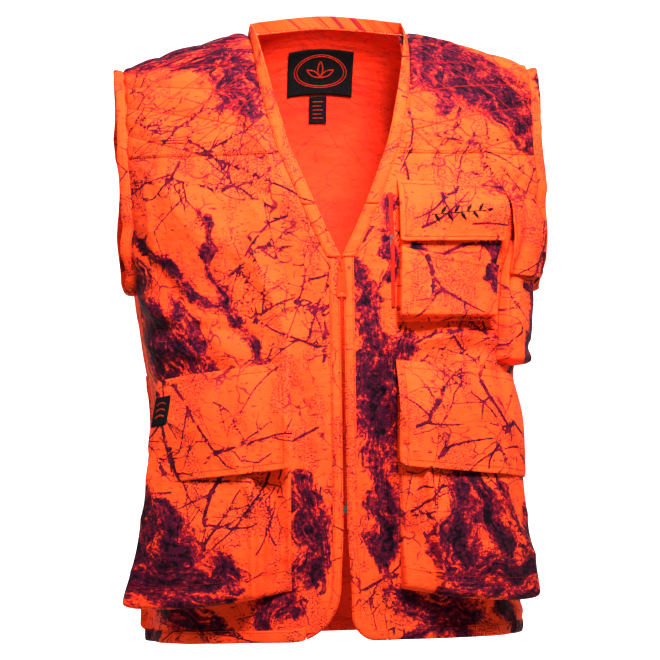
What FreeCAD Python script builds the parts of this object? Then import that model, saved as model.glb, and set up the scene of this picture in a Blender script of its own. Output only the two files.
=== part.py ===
import FreeCAD, Part

# A zip-front hunting vest in printed blaze fabric, worn on an invisible torso. Millimetres.
# +X is the wearer's left, -Y the front, +Z up. The origin lies midway between the two points
# where the shoulder seams meet the neckline, which is where a torso or a hanger carries it.
#
# Every cloth piece is a block of (across, up, outward) on one torso surface, torso(phi, q):
# phi goes round the body in degrees, 0 at the front, +90 at the wearer's left, 180 at the back;
# q climbs the cloth from the hem, and past Q_CHEST it turns over the shoulder to Q_RIDGE.
import math
import os

V = FreeCAD.Vector

# ---- driving dimensions -------------------------------------------------------------------
NECK_HEIGHT = 688.0        # shoulder-neck point above the front hem
FRONT_DEPTH = 125.0        # torso centre to the front of the chest
BOXINESS = 0.08            # how square the torso's section is
Q_CHEST = 460.0            # above this the cloth turns back over the shoulder
SHOULDER_SLOPE = 0.306     # fall of the shoulder per millimetre outwards
HEM_DROP = 7.0             # the hem hangs this much lower at the sides, twice this behind
CLOTH = 1.2                # thickness of a cloth layer
GAP = 0.4                  # air between one layer and the next
HALF_WIDTH = [(0, 217), (150, 210), (280, 210), (400, 226), (460, 240), (812, 245)]
BACK_DEPTH = [(0, 104), (200, 96), (400, 112), (812, 128)]
NECK_SEAM = [(426, 14), (476, 38), (526, 59), (562, 71), (652, 86), (818, 90)]
BACK_NECK_DROP = 50.0      # q from the ridge down to the middle of the back neckline
NECK_BAND = 14.0           # width of the neck and front-edge band
BAND_THICK = 1.4
ARM_BAND = 13.0            # width of the armhole binding
ARM_LOW, ARM_MID = 392.0, 512.0   # q of the armhole's bottom and of its widest level
ARM_PHI = 66.0             # phi of the armhole's front edge
FOLD_X = 46.0              # the front edge folds open about a line this far from the zip
RIGHT_CORNER, LEFT_CORNER = 62.0, 30.0    # radii of the front hem's rounded corners
EDGE_X = 2.2               # each front edge starts this far from the middle
HEM_BAND = 14.0
ZIP_LOW, ZIP_TOP = 143.0, 426.0

# ---- the torso surface ----------------------------------------------------------------------


def smooth(stops, q):
    """A value between (q, value) stops, with no kink at a stop."""
    if q <= stops[0][0]:
        return float(stops[0][1])
    for i in range(len(stops) - 1):
        (q0, a), (q1, b) = stops[i], stops[i + 1]
        if q <= q1:
            before = stops[max(i - 1, 0)]
            after = stops[min(i + 2, len(stops) - 1)]
            ma = (b - before[1]) / (q1 - before[0]) * (q1 - q0)
            mb = (after[1] - a) / (after[0] - q0) * (q1 - q0)
            t = (q - q0) / (q1 - q0)
            return (
                a * (2 * t**3 - 3 * t**2 + 1) + ma * (t**3 - 2 * t**2 + t)
                + b * (3 * t**2 - 2 * t**3) + mb * (t**3 - t**2)
            )
    return float(stops[-1][1])


def ease(t):
    t = min(1.0, max(0.0, t))
    return t * t * (3 - 2 * t)


NECK_X = NECK_SEAM[-1][1]
ROUNDING = 40.0


def ridge_height(x):
    """Height of the shoulder ridge above the hem at a distance x from the middle."""
    fall = math.hypot(x, ROUNDING) - math.hypot(NECK_X, ROUNDING)
    return NECK_HEIGHT - SHOULDER_SLOPE * fall


Q_RIDGE = Q_CHEST + (NECK_HEIGHT - Q_CHEST) * math.pi / 2


def torso_point(phi, q):
    """Point of the torso surface, in the row frame."""
    r = math.radians(phi)
    square = 1 + BOXINESS * math.sin(2 * r) ** 2
    x = smooth(HALF_WIDTH, q) * math.sin(r) * square
    depth = FRONT_DEPTH if math.cos(r) > 0 else smooth(BACK_DEPTH, q)
    turn = max(0.0, (q - Q_CHEST) / (Q_RIDGE - Q_CHEST)) * math.pi / 2
    y = -depth * math.cos(r) * square * math.cos(turn)
    height = min(q, Q_CHEST) + (ridge_height(x) - Q_CHEST) * math.sin(turn)
    height -= HEM_DROP * (1 - math.cos(r)) * ease(1 - q / Q_CHEST)
    return V(x, y, height - NECK_HEIGHT)


def frame_at(phi, q):
    """Unit vectors (round the body, up the cloth, outward) at a point of the surface."""
    step = 0.5
    round_it = (torso_point(phi + step, q) - torso_point(phi - step, q)).normalize()
    high = min(q + step, Q_RIDGE)
    up = (torso_point(phi, high) - torso_point(phi, high - 2 * step)).normalize()
    out = round_it.cross(up).normalize()
    return round_it, out.cross(round_it).normalize(), out


def torso(phi, q, off=0.0):
    """A point lifted off the surface along its normal."""
    return torso_point(phi, q) + frame_at(phi, q)[2] * off


def phi_at(x, q):
    """The front phi at a distance x from the middle."""
    low, high = 0.0, 89.0
    for _ in range(40):
        mid = (low + high) / 2
        if torso_point(mid, q).x < abs(x):
            low = mid
        else:
            high = mid
    return math.copysign(low, x)


def neck_x(q):
    """Where the neck band is sewn to the front, from the middle."""
    return smooth(NECK_SEAM, q)


def back_neck_q(x):
    """q of the back neckline's seam at a distance x from the middle."""
    share = min(1.0, abs(x) / NECK_SEAM[-1][1])
    return Q_RIDGE - BACK_NECK_DROP * (1 - share**2) ** 0.8


def armhole(t):
    """(phi, q) up the armhole's front edge, from its bottom at t 0 to the ridge at t 1."""
    bend = 0.4
    if t < bend:
        turn = t / bend * math.pi / 2
        return (
            90 - (90 - ARM_PHI) * math.sin(turn),
            ARM_LOW + (ARM_MID - ARM_LOW) * (1 - math.cos(turn)),
        )
    rise = (t - bend) / (1 - bend)
    return ARM_PHI + 2 * rise, ARM_MID + (Q_RIDGE - ARM_MID) * rise


# ---- solids from blocks ---------------------------------------------------------------------


def spline_face(grid):
    """A clamped, uniform B-spline face whose poles are a grid of points."""

    def knots(count):
        degree = min(3, count - 1)
        inner = count - degree
        return degree, list(range(inner + 1)), [degree + 1] + [1] * (inner - 1) + [degree + 1]

    (du, ku, mu), (dv, kv, mv) = knots(len(grid)), knots(len(grid[0]))
    surface = Part.BSplineSurface()
    surface.buildFromPolesMultsKnots(grid, mu, mv, ku, kv, False, False, du, dv)
    return surface.toShape()


def block_faces(point, across, up, skip=()):
    """The six faces of point(u, v, w), each parameter 0 to 1; w goes outward."""
    us = [i / (across - 1) for i in range(across)]
    vs = [i / (up - 1) for i in range(up)]
    ws = [0.0, 1.0]
    made = {
        "inner": [[point(u, v, 0.0) for v in vs] for u in us],
        "outer": [[point(u, v, 1.0) for v in vs] for u in us],
        "start": [[point(0.0, v, w) for w in ws] for v in vs],
        "end": [[point(1.0, v, w) for w in ws] for v in vs],
        "bottom": [[point(u, 0.0, w) for w in ws] for u in us],
        "top": [[point(u, 1.0, w) for w in ws] for u in us],
    }
    return [spline_face(grid) for side, grid in made.items() if side not in skip]


def solid(faces):
    """One closed solid from faces that meet edge to edge."""
    shell = Part.Shell(faces)
    shell.sewShape()
    body = Part.Solid(shell if shell.ShapeType == "Shell" else shell.Shells[0])
    if body.Volume < 0:
        body.reverse()
    if not body.isValid() or not body.isClosed():
        raise ValueError("a block didn't close")
    return body


def block(point, across, up):
    return solid(block_faces(point, across, up))


def mirrored(shape):
    return shape.mirror(V(0, 0, 0), V(1, 0, 0))


def box(x, y, z):
    """A box from its (low, high) on each axis."""
    return Part.makeBox(x[1] - x[0], y[1] - y[0], z[1] - z[0], V(x[0], y[0], z[0]))


def mix(a, b, t):
    return a + (b - a) * t


# ---- body panels ----------------------------------------------------------------------------


def hem_q(x, corner, inset=0.0):
    """q of the front hem, or of a line inset from it, where the corner is rounded."""
    run = corner + EDGE_X - x
    if run <= 0:
        return inset
    return corner - math.sqrt(max(0.0, (corner - inset) ** 2 - run**2))


def spread(x, q):
    """Below the zip the two fronts fall a little apart."""
    return x + 4.0 * ease((ZIP_LOW - 5 - q) / 90) * max(0.0, 1 - x / FOLD_X)


def front_panel(corner):
    """A front from the fold line to the side seam and armhole, hem to shoulder seam."""
    side_edge = 89.9

    def lower(u, v, w):
        inner = phi_at(FOLD_X + GAP, ARM_LOW * v)
        hem = hem_q(torso_point(mix(inner, side_edge, u), 0).x, corner)
        q = mix(hem, ARM_LOW, v)
        return torso(mix(phi_at(FOLD_X + GAP, q), side_edge, u), q, -CLOTH * (1 - w))

    def upper(u, v, w):
        edge, q = armhole(v)
        q = min(q, Q_RIDGE - 0.5)
        inner = max(FOLD_X, neck_x(q) - 8) + GAP
        return torso(mix(phi_at(inner, q), edge - 0.1, u), q, -CLOTH * (1 - w))

    return solid(
        block_faces(lower, 14, 12, skip=("top",)) + block_faces(upper, 14, 18, skip=("bottom",))
    )


def back_panel():
    """The whole back, with both shoulders, as one cloth piece."""
    side_edge = 90.1

    def lower(u, v, w):
        return torso(mix(side_edge, 360 - side_edge, u), ARM_LOW * v, -CLOTH * (1 - w))

    def upper(u, v, w):
        edge, q = armhole(v)
        edge = 180.1 - edge
        phi = mix(edge, 360 - edge, u)
        top = min(Q_RIDGE - 0.5, back_neck_q(torso_point(phi, Q_RIDGE).x))
        q = ARM_LOW + (q - ARM_LOW) * (top - ARM_LOW) / (Q_RIDGE - ARM_LOW)
        return torso(phi, q, -CLOTH * (1 - w))

    return solid(
        block_faces(lower, 24, 12, skip=("top",)) + block_faces(upper, 24, 18, skip=("bottom",))
    )


def q_at_height(phi, height):
    """The q at which the cloth reaches a height above the hem."""
    low, top = 0.0, Q_RIDGE
    for _ in range(40):
        mid = (low + top) / 2
        if torso_point(phi, mid).z + NECK_HEIGHT < height:
            low = mid
        else:
            top = mid
    return low


def shoulder_quilt():
    """The quilted patch over the left shoulder, front to back across the seam."""
    front_height, back_height, foam = 545.0, 560.0, 3.6

    def point(u, v, w):
        behind = v > 0.5
        rise = 1 - abs(2 * v - 1)
        phi = mix(phi_at(80, 560), ARM_PHI, u)
        foot = q_at_height(phi, back_height if behind else front_height)
        level = mix(foot, Q_RIDGE, rise)
        share = (level - ARM_MID) / (Q_RIDGE - ARM_MID)
        phi = mix(phi_at(neck_x(level) + 2.0, level), ARM_PHI + 2 * share - 0.8, u)
        return torso(180 - phi if behind else phi, level, mix(GAP, GAP + foam, w))

    return block(point, 10, 25)


# ---- bands ----------------------------------------------------------------------------------


def band(path, width, tilt, thick, count, flip=1):
    """A strip sewn along path(t) -> (phi, q), reaching across it and tilted up."""

    def point(u, v, w):
        phi, q = path(v)
        a, b = path(max(0.0, v - 0.01)), path(min(1.0, v + 0.01))
        along = (torso_point(*b) - torso_point(*a)).normalize()
        out = frame_at(phi, q)[2]
        across = out.cross(along).normalize() * flip
        lean = math.radians(tilt)
        reach = across * math.cos(lean) + out * math.sin(lean)
        lift = out * math.cos(lean) - across * math.sin(lean)
        return torso_point(phi, q) + reach * (width * u) + lift * (GAP + thick * w)

    return block(point, 4, count)


NECK_SPLIT = 487.0     # below this the neck band swings open with the front edge


def neck_band(low, high, count):
    """Part of the left neck band between two q, each section of it level."""

    def point(u, v, w):
        q = mix(low, high, v)
        slope = (neck_x(q + 1) - neck_x(q - 1)) / 2
        round_it, up, out = frame_at(phi_at(neck_x(q), q), q)
        lean = math.radians(58 * ease((q - 560) / 200))
        width = NECK_BAND * math.hypot(1, slope) * u
        reach = (out * math.sin(lean) - round_it * math.cos(lean)) * width
        lift = (out * math.cos(lean) + round_it * math.sin(lean)) * (GAP + BAND_THICK * w)
        return torso_point(phi_at(neck_x(q), q), q) + reach + lift

    return block(point, 4, count)


def back_neck_band():
    """The band that stands up round the back of the neck."""
    reach = NECK_SEAM[-1][1] - 1.0

    def path(t):
        x = -reach * math.cos(math.pi * t)
        q = back_neck_q(x)
        return 180 - phi_at(x, q), q

    return band(path, NECK_BAND, 58, BAND_THICK, 30)


def armhole_binding():
    """The folded binding round the left armhole, a closed ring in two halves."""
    below = 0.3

    def half(behind):
        def path(t):
            edge, q = armhole(t)
            q = min(q, Q_RIDGE - 0.2)
            return (180 - edge - below if behind else edge + below), q

        return band(path, ARM_BAND, 32, 2.0, 22, flip=1 if behind else -1)

    return Part.makeCompound([half(False), half(True)])


def back_hem_band():
    """The stitched band along the back's hem, side seam to side seam."""
    return block(
        lambda u, v, w: torso(mix(90.2, 269.8, u), HEM_BAND * v, mix(GAP, GAP + CLOTH, w)), 26, 4
    )


def front_hem_band(corner):
    """The stitched band along a front's hem, outside the fold line."""

    def point(u, v, w):
        phi = mix(phi_at(FOLD_X + GAP, 0), 89.8, u)
        x = torso_point(phi, 0).x
        q = mix(hem_q(x, corner), hem_q(x, corner, HEM_BAND), v)
        return torso(phi, q, mix(GAP, GAP + CLOTH, w))

    return block(point, 18, 4)


# ---- the opening front edges ----------------------------------------------------------------


def front_strip(corner):
    """The cloth between the fold line and the front edge, up to the neckline."""
    top = NECK_SPLIT - 0.5

    def point(u, v, w):
        low = hem_q(mix(6.5, FOLD_X - GAP, u), corner, 1.0)
        q = mix(low, top, v)
        x = spread(mix(max(6.5, neck_x(q) - 8), FOLD_X - GAP, u), q)
        return torso(phi_at(x, q), q, -CLOTH * (1 - w))

    return block(point, 6, 34)


def placket_band(corner):
    """The doubled band down a front edge and round its foot, with the V's foot above it."""
    turn = 0.72

    def edge(t, inset):
        """(x, q) along the front edge and then round the corner, inset from it."""
        if t < turn:
            return EDGE_X + inset, mix(ZIP_TOP + 3, corner, t / turn)
        radius, run = corner - inset, EDGE_X + corner - (FOLD_X - GAP)
        share = (t - turn) / (1 - turn)
        if run > 0:
            angle = math.acos(run / radius) * share
            return EDGE_X + corner - radius * math.cos(angle), corner - radius * math.sin(angle)
        angle = math.pi / 2 * min(1.0, share / 0.75)
        ahead = max(0.0, share / 0.75 - 1) / (1 / 0.75 - 1) * -run
        x = EDGE_X + corner - radius * math.cos(angle) + ahead
        return x, corner - radius * math.sin(angle)

    def point(u, v, w):
        x, q = edge(v, (NECK_BAND - EDGE_X) * u)
        return torso(phi_at(spread(x, q), q), q, mix(0.3, 0.3 + BAND_THICK, w))

    foot = block(point, 4, 60)
    return Part.makeCompound([foot, neck_band(ZIP_TOP + 4, NECK_SPLIT - 0.5, 8)])


# Levels outward from the cloth's face at the front middle, for the zip and its slider.
TAPE = (-2.8, -2.1)
COIL = (-4.6, -2.9)
BACK_PLATE = (-6.2, -5.0)
FRONT_PLATE = (-1.4, 0.0)
TOOTH_PITCH = 3.2


def outward(level):
    """(low, high) outward levels at the front middle as y."""
    return (-FRONT_DEPTH - level[1], -FRONT_DEPTH - level[0])


def high(h):
    """A height above the hem as z."""
    return h - NECK_HEIGHT


def zip_tape():
    return box((2.4, 15.5), outward(TAPE), (high(ZIP_LOW), high(ZIP_TOP + 5)))


def zip_teeth():
    """A comb of teeth on a spine. The slit that it leaves lets the slider's divider pass."""
    low, top, root, tip = ZIP_LOW + 16, ZIP_TOP - 0.5, 2.6, 0.8
    outline = [V(3.8, 0, high(low))]
    count = int((top - low) / TOOTH_PITCH)
    for i in range(count):
        foot = high(low + i * TOOTH_PITCH)
        for x, rise in ((root, 0.0), (root, 0.8), (tip, 1.1), (tip, 2.1), (root, 2.4)):
            outline.append(V(x, 0, foot + rise))
    outline += [V(root, 0, high(top)), V(3.8, 0, high(top))]
    outline.append(outline[0])
    comb = Part.Face(Part.makePolygon(outline)).extrude(V(0, COIL[1] - COIL[0], 0))
    comb.translate(V(0, outward(COIL)[0], 0))
    return comb if comb.Volume > 0 else comb.reversed()


def top_stop():
    return box((0.8, 4.2), outward((-4.8, -2.9)), (high(ZIP_TOP + 1.4), high(ZIP_TOP + 4.4)))


def retainer_box():
    """The metal box at the zip's foot, with a well that takes the other side's pin."""
    body = box((-4.4, 3.2), outward((-5.4, -1.4)), (high(ZIP_LOW + 0.5), high(ZIP_LOW + 8)))
    well = box((0.5, 2.7), outward((-4.9, -2.9)), (high(ZIP_LOW + 2), high(ZIP_LOW + 9)))
    level, height = outward((-3.0, -1.8)), (high(ZIP_LOW), high(ZIP_LOW + 9))
    slots = [box((-4.5, -2.1), level, height), box((2.1, 3.3), level, height)]
    return body.cut([well, *slots])


def insertion_pin():
    return box((0.9, 2.2), outward((-4.6, -3.2)), (high(ZIP_LOW + 3), high(ZIP_LOW + 15.6)))


SLIDER_LOW, SLIDER_HIGH = ZIP_TOP - 13.0, ZIP_TOP + 1.0
BAR_H, BAR_LEVEL, BAR_R = SLIDER_LOW + 5.0, 3.2, 0.9


def zip_slider():
    """Front and back plates joined by a divider, with a bridge that holds the pull."""
    span = (high(SLIDER_LOW), high(SLIDER_HIGH))
    plates = [box((-5, 5), outward(level), span) for level in (BACK_PLATE, FRONT_PLATE)]
    plates = [p.makeFillet(2.2, upright_edges(p)) for p in plates]
    divider = box(
        (-0.35, 0.35), outward((-5.2, -1.2)), (high(SLIDER_LOW + 4), high(SLIDER_HIGH - 1))
    )
    bridge = box(
        (-1.4, 1.4), outward((-0.2, 5.6)), (high(SLIDER_LOW + 2), high(SLIDER_HIGH - 1.5))
    )
    eye = box(
        (-2, 2), outward((1.7, 4.4)), (high(SLIDER_LOW + 3.7), high(SLIDER_HIGH - 3.2))
    )
    return plates[0].fuse([plates[1], divider, bridge.cut(eye)]).removeSplitter()


def upright_edges(plate):
    """The four short edges that run front to back."""
    return [e for e in plate.Edges if abs(e.tangentAt(e.FirstParameter).y) > 0.9]


def zip_pull():
    """The moulded tab: a bar through the bridge, two arms and a plate with a slit."""
    bar = Part.makeCylinder(
        BAR_R, 9.0, V(-4.5, -FRONT_DEPTH - BAR_LEVEL, high(BAR_H)), V(1, 0, 0)
    )
    level, arm_low = outward((2.5, 3.9)), high(SLIDER_LOW - 1)
    arms = [box((s * 3.25 - 1.25, s * 3.25 + 1.25), level, (arm_low, high(BAR_H))) for s in (-1, 1)]
    foot = high(BAR_H) - 33.0
    outline = [(-4.5, arm_low + 1), (4.5, arm_low + 1), (6.5, foot + 3), (5.0, foot),
               (-5.0, foot), (-6.5, foot + 3), (-4.5, arm_low + 1)]
    plate = Part.Face(Part.makePolygon([V(x, level[0], z) for x, z in outline]))
    plate = plate.extrude(V(0, level[1] - level[0], 0))
    slit = box((-3, 3), (level[0] - 1, level[1] + 1), (foot + 4.5, foot + 6))
    return bar.fuse([*arms, plate]).cut(slit).removeSplitter()


# ---- pockets --------------------------------------------------------------------------------


class Patch:
    """A four-sided area of the left front or the back, with sides of constant slope."""

    def __init__(self, inner, outer, outer_top, q, drop=0.0):
        self.inner, self.outer, self.outer_top = inner, outer, outer_top
        self.q, self.drop = q, drop

    def at(self, u, v, off):
        phi = mix(self.inner, mix(self.outer, self.outer_top, v), u)
        return torso(phi, mix(*self.q, v) - self.drop * u, off)

    def size(self):
        """Rough width and height."""
        return (self.at(1, 0.5, 0) - self.at(0, 0.5, 0)).Length, self.q[1] - self.q[0]

    def piece(self, centre, size, level, thick):
        """A small piece whose inner side is at a level above the face's or flap's side."""
        wide, tall = self.size()
        (u0, v0), (du, dv) = centre, (size[0] / wide / 2, size[1] / tall / 2)

        def point(u, v, w):
            a, b = mix(u0 - du, u0 + du, u), mix(v0 - dv, v0 + dv, v)
            return self.at(a, b, self.reach(a, b) + level + thick * w)

        return block(point, 8, 6)


class Pocket(Patch):
    """A patch pocket that stands off the garment: (foot, mouth) depth, less at the sides."""

    def __init__(self, *area, depth, wrap=(1.0, 1.0), **more):
        super().__init__(*area, **more)
        self.depth, self.wrap = depth, wrap

    def reach(self, u, v):
        """How far the face's outer side stands off the torso."""
        inner, outer = self.wrap
        side = 1 - (1 - inner) * (1 - u) ** 3 - (1 - outer) * u**3
        return mix(self.depth[0], self.depth[1], v) * side

    def face(self):
        return block(
            lambda u, v, w: self.at(u, v, self.reach(u, v) - CLOTH * (1 - w)), 12, 8
        )

    def gusset(self, base=GAP):
        """The two side walls and the foot that join the face to what lies under it."""
        wide, tall = self.size()
        du, dv = CLOTH / wide, CLOTH / tall

        def wall(u0, u1, v0, v1, across):
            def point(u, v, w):
                a, b = mix(u0, u1, u), mix(v0, v1, v)
                return self.at(a, b, mix(base, self.reach(a, b) - CLOTH - GAP, w))

            return block(point, across, 8)

        return Part.makeCompound([
            wall(0, du, dv * 1.4, 1, 2), wall(1 - du, 1, dv * 1.4, 1, 2), wall(0, 1, 0, dv, 12),
        ])


class Flap(Patch):
    """A flap sewn along its top edge, lying over a pocket's mouth."""

    def __init__(self, *area, rest, wrap=1.0, **more):
        super().__init__(*area, **more)
        self.rest, self.wrap = rest, wrap

    def reach(self, u, v):
        """Level of the flap's inner side: near the cloth at the seam, over the pocket below."""
        fall = math.sin(min(1.0, (1 - v) * 1.7) * math.pi / 2)
        return GAP + (self.rest - GAP) * fall * mix(1, self.wrap, u**3)

    def cloth(self):
        return block(lambda u, v, w: self.at(u, v, self.reach(u, v) + CLOTH * w), 14, 14)

    def seam(self):
        """(middle, direction) of the line about which the flap lifts."""
        ahead = self.at(0.55, 1.0, GAP) - self.at(0.45, 1.0, GAP)
        return self.at(0.5, 1.0, GAP + CLOTH / 2), ahead.normalize()


LOWER_PHI = (phi_at(60, 200), 63.0, 63.0)
LOWER_POCKET = Pocket(*LOWER_PHI, (58, 275), drop=14, depth=(38, 9), wrap=(1.0, 0.72))
LOWER_FLAP = Flap(LOWER_PHI[0] - 0.5, 64.0, 64.0, (197, 314), drop=20, rest=22.5, wrap=0.76)
CHEST_PHI = (phi_at(65, 430), phi_at(180, 430), phi_at(180, 430))
CHEST_POCKET = Pocket(*CHEST_PHI, (356, 498), depth=(12, 8))
CHEST_FLAP = Flap(CHEST_PHI[0] - 0.4, CHEST_PHI[1] + 0.2, CHEST_PHI[1] + 0.2, (447, 515), rest=13.6)
CHEST_POUCH = Pocket(*CHEST_PHI, (361, 430), depth=(26, 17))
SIDE_POCKET = Pocket(phi_at(189, 400), 78.0, 63.0, (312, 446), drop=3, depth=(18, 8))
SIDE_FLAP = Flap(phi_at(187, 440), 70.0, 60.5, (410, 508), drop=2, rest=13.0)
GAME_BAG = Pocket(106.0, 254.0, 254.0, (18, 300), depth=(30, 9), wrap=(0.3, 0.3))
HOOK_AREA, EMBLEM_AREA, TAG_AREA = (42, 16), (62, 15), (30, 28)


# ---- the hidden chest zip, and the labels -----------------------------------------------------

CHEST_ZIP_X, CHEST_ZIP = 57.0, (372.0, 500.0)
CHEST_BAR_H = 452.0


def chest_zip_tape():
    """The narrow zip beside the chest pocket."""

    def point(u, v, w):
        q = mix(*CHEST_ZIP, v)
        return torso(phi_at(CHEST_ZIP_X + 3.2 * (u - 0.5) * 2, q), q, mix(0.3, 1.1, w))

    return block(point, 3, 10)


def chest_zip_slider():
    """A small body on the tape, with a lug in front for its pull."""
    at = torso(phi_at(CHEST_ZIP_X, CHEST_BAR_H), CHEST_BAR_H, 0)
    low = CHEST_BAR_H - NECK_HEIGHT
    body = box((at.x - 2.2, at.x + 2.2), (at.y - 3.0, at.y - 1.7), (low - 3, low + 4))
    lug = box((at.x - 0.7, at.x + 0.7), (at.y - 5.4, at.y - 2.8), (low - 2, low + 2))
    eye = Part.makeCylinder(0.8, 2, V(at.x - 1, at.y - 4.2, low), V(1, 0, 0))
    return body.fuse(lug).cut(eye)


def chest_zip_pull():
    """A flat metal pull with a pin through the lug."""
    at = torso(phi_at(CHEST_ZIP_X, CHEST_BAR_H), CHEST_BAR_H, 0)
    low = CHEST_BAR_H - NECK_HEIGHT
    pin = Part.makeCylinder(0.6, 4, V(at.x - 2, at.y - 4.2, low), V(1, 0, 0))
    arms = [
        box((at.x + s * 1.45 - 0.45, at.x + s * 1.45 + 0.45), (at.y - 4.8, at.y - 3.6),
            (low - 5, low + 0.6)) for s in (-1, 1)
    ]
    blade = box((at.x - 1.9, at.x + 1.9), (at.y - 4.8, at.y - 3.6), (low - 20, low - 4.5))
    return pin.fuse([*arms, blade]).removeSplitter()


def inner_label(x, h, thick):
    """A label against the inside of the back, between (low, high) x and heights above the hem."""
    level = -CLOTH - 1.2 - thick

    def point(u, v, w):
        q = q_at_height(180, mix(*h, v))
        return torso(180 - phi_at(mix(*x, u), q), q, level + thick * w)

    return block(point, 8, 6)


# ---- writing --------------------------------------------------------------------------------


def write(name, shape):
    solids = shape.Solids
    if not solids or any(not s.isValid() or s.Volume <= 0 for s in solids):
        raise ValueError(f"{name} isn't a closed solid")
    shape.exportStep(os.path.join("parts", name + ".step"))


def main():
    os.makedirs("parts", exist_ok=True)
    for name, corner, side in (
        ("left_", LEFT_CORNER, lambda shape: shape),
        ("right_", RIGHT_CORNER, mirrored),
    ):
        pieces = {
            "front_panel": front_panel(corner),
            "shoulder_quilt": shoulder_quilt(),
            "neck_band": neck_band(NECK_SPLIT + 0.5, Q_RIDGE - 0.3, 20),
            "armhole_binding": armhole_binding(),
            "hem_band": front_hem_band(corner),
            "front_strip": front_strip(corner),
            "placket_band": placket_band(corner),
            "zip_tape": zip_tape(),
            "zip_teeth": zip_teeth(),
            "zip_top_stop": top_stop(),
            "lower_pocket_face": LOWER_POCKET.face(),
            "lower_pocket_gusset": LOWER_POCKET.gusset(),
            "lower_pocket_flap": LOWER_FLAP.cloth(),
        }
        for piece, shape in pieces.items():
            write(name + piece, side(shape))
    on_flap = CLOTH + 0.35
    singles = {
        "back_panel": back_panel(),
        "back_neck_band": back_neck_band(),
        "back_hem_band": back_hem_band(),
        "zip_retainer_box": retainer_box(),
        "zip_insertion_pin": insertion_pin(),
        "zip_slider": zip_slider(),
        "zip_pull": zip_pull(),
        "chest_pocket_face": CHEST_POCKET.face(),
        "chest_pocket_gusset": CHEST_POCKET.gusset(),
        "chest_pocket_flap": CHEST_FLAP.cloth(),
        "chest_flap_hook_patch": CHEST_FLAP.piece((0.5, 0.24), HOOK_AREA, -1.5, 1.1),
        "chest_pocket_loop_patch": CHEST_POCKET.piece((0.5, 0.77), HOOK_AREA, 0.3, 1.1),
        "chest_flap_emblem": CHEST_FLAP.piece((0.55, 0.5), EMBLEM_AREA, on_flap, 0.8),
        "chest_pouch_face": CHEST_POUCH.face(),
        "chest_pouch_gusset": CHEST_POUCH.gusset(base=CHEST_POCKET.depth[0] + GAP),
        "side_pocket_face": SIDE_POCKET.face(),
        "side_pocket_gusset": SIDE_POCKET.gusset(),
        "side_pocket_flap": SIDE_FLAP.cloth(),
        "chest_zip_tape": chest_zip_tape(),
        "chest_zip_slider": chest_zip_slider(),
        "chest_zip_pull": chest_zip_pull(),
        "game_bag_face": GAME_BAG.face(),
        "game_bag_gusset": GAME_BAG.gusset(base=2.8),
        "neck_label": inner_label((-39, 39), (628, 680), 0.8),
        "size_tag": inner_label((-12, 9), (594, 626), 0.8),
        "right_flap_label": mirrored(LOWER_FLAP.piece((0.9, 0.72), TAG_AREA, on_flap, 0.8)),
    }
    for name, shape in singles.items():
        write(name, shape)
    for name, flap in (("lower", LOWER_FLAP), ("chest", CHEST_FLAP), ("side", SIDE_FLAP)):
        print(name, "flap lifts about", *flap.seam())


main()
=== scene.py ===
import math

import bpy
import numpy as np
from mathutils import Matrix, Vector, kdtree


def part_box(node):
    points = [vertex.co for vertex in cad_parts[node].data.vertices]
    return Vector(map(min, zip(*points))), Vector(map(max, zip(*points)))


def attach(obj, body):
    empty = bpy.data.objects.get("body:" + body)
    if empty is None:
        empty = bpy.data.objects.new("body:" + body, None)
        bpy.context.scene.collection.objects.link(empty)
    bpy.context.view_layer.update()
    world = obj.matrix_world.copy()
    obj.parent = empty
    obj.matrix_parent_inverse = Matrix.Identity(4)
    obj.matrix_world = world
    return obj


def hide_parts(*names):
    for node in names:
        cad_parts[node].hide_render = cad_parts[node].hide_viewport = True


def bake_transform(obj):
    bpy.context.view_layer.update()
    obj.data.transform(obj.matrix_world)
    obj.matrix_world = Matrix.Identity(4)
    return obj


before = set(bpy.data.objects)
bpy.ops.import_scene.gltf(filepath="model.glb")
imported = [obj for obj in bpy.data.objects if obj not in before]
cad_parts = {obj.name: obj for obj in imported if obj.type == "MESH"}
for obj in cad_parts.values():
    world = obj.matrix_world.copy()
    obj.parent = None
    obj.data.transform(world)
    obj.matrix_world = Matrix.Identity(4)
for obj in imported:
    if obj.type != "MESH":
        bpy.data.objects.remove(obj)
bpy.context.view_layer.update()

# ---- the torso surface, as in part.py, in metres --------------------------------------------

NECK_HEIGHT, FRONT_DEPTH, BOXINESS = 0.688, 0.125, 0.08
Q_CHEST, SLOPE, HEM_DROP, ROUNDING = 0.460, 0.306, 0.007, 0.040
HALF_WIDTH = [(0, 0.217), (0.150, 0.210), (0.280, 0.210), (0.400, 0.226), (0.460, 0.240), (0.812, 0.245)]
BACK_DEPTH = [(0, 0.104), (0.200, 0.096), (0.400, 0.112), (0.812, 0.128)]
NECK_SEAM = [(0.426, 0.014), (0.476, 0.038), (0.526, 0.059), (0.562, 0.071), (0.652, 0.086), (0.818, 0.090)]
NECK_X = NECK_SEAM[-1][1]
Q_RIDGE = Q_CHEST + (NECK_HEIGHT - Q_CHEST) * math.pi / 2
BACK_NECK_DROP = 0.050
ARM_LOW, ARM_MID, ARM_PHI, ARM_TURN = 0.392, 0.512, 66.0, 0.4
BAND, HEM, GAP = 0.014, 0.014, 0.0004
EDGE_X, FOLD_X = 0.0022, 0.046
ZIP_LOW, ZIP_TOP = 0.143, 0.426
CORNERS = {"left": 0.030, "right": 0.062}
CLOTH = 0.0011


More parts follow.
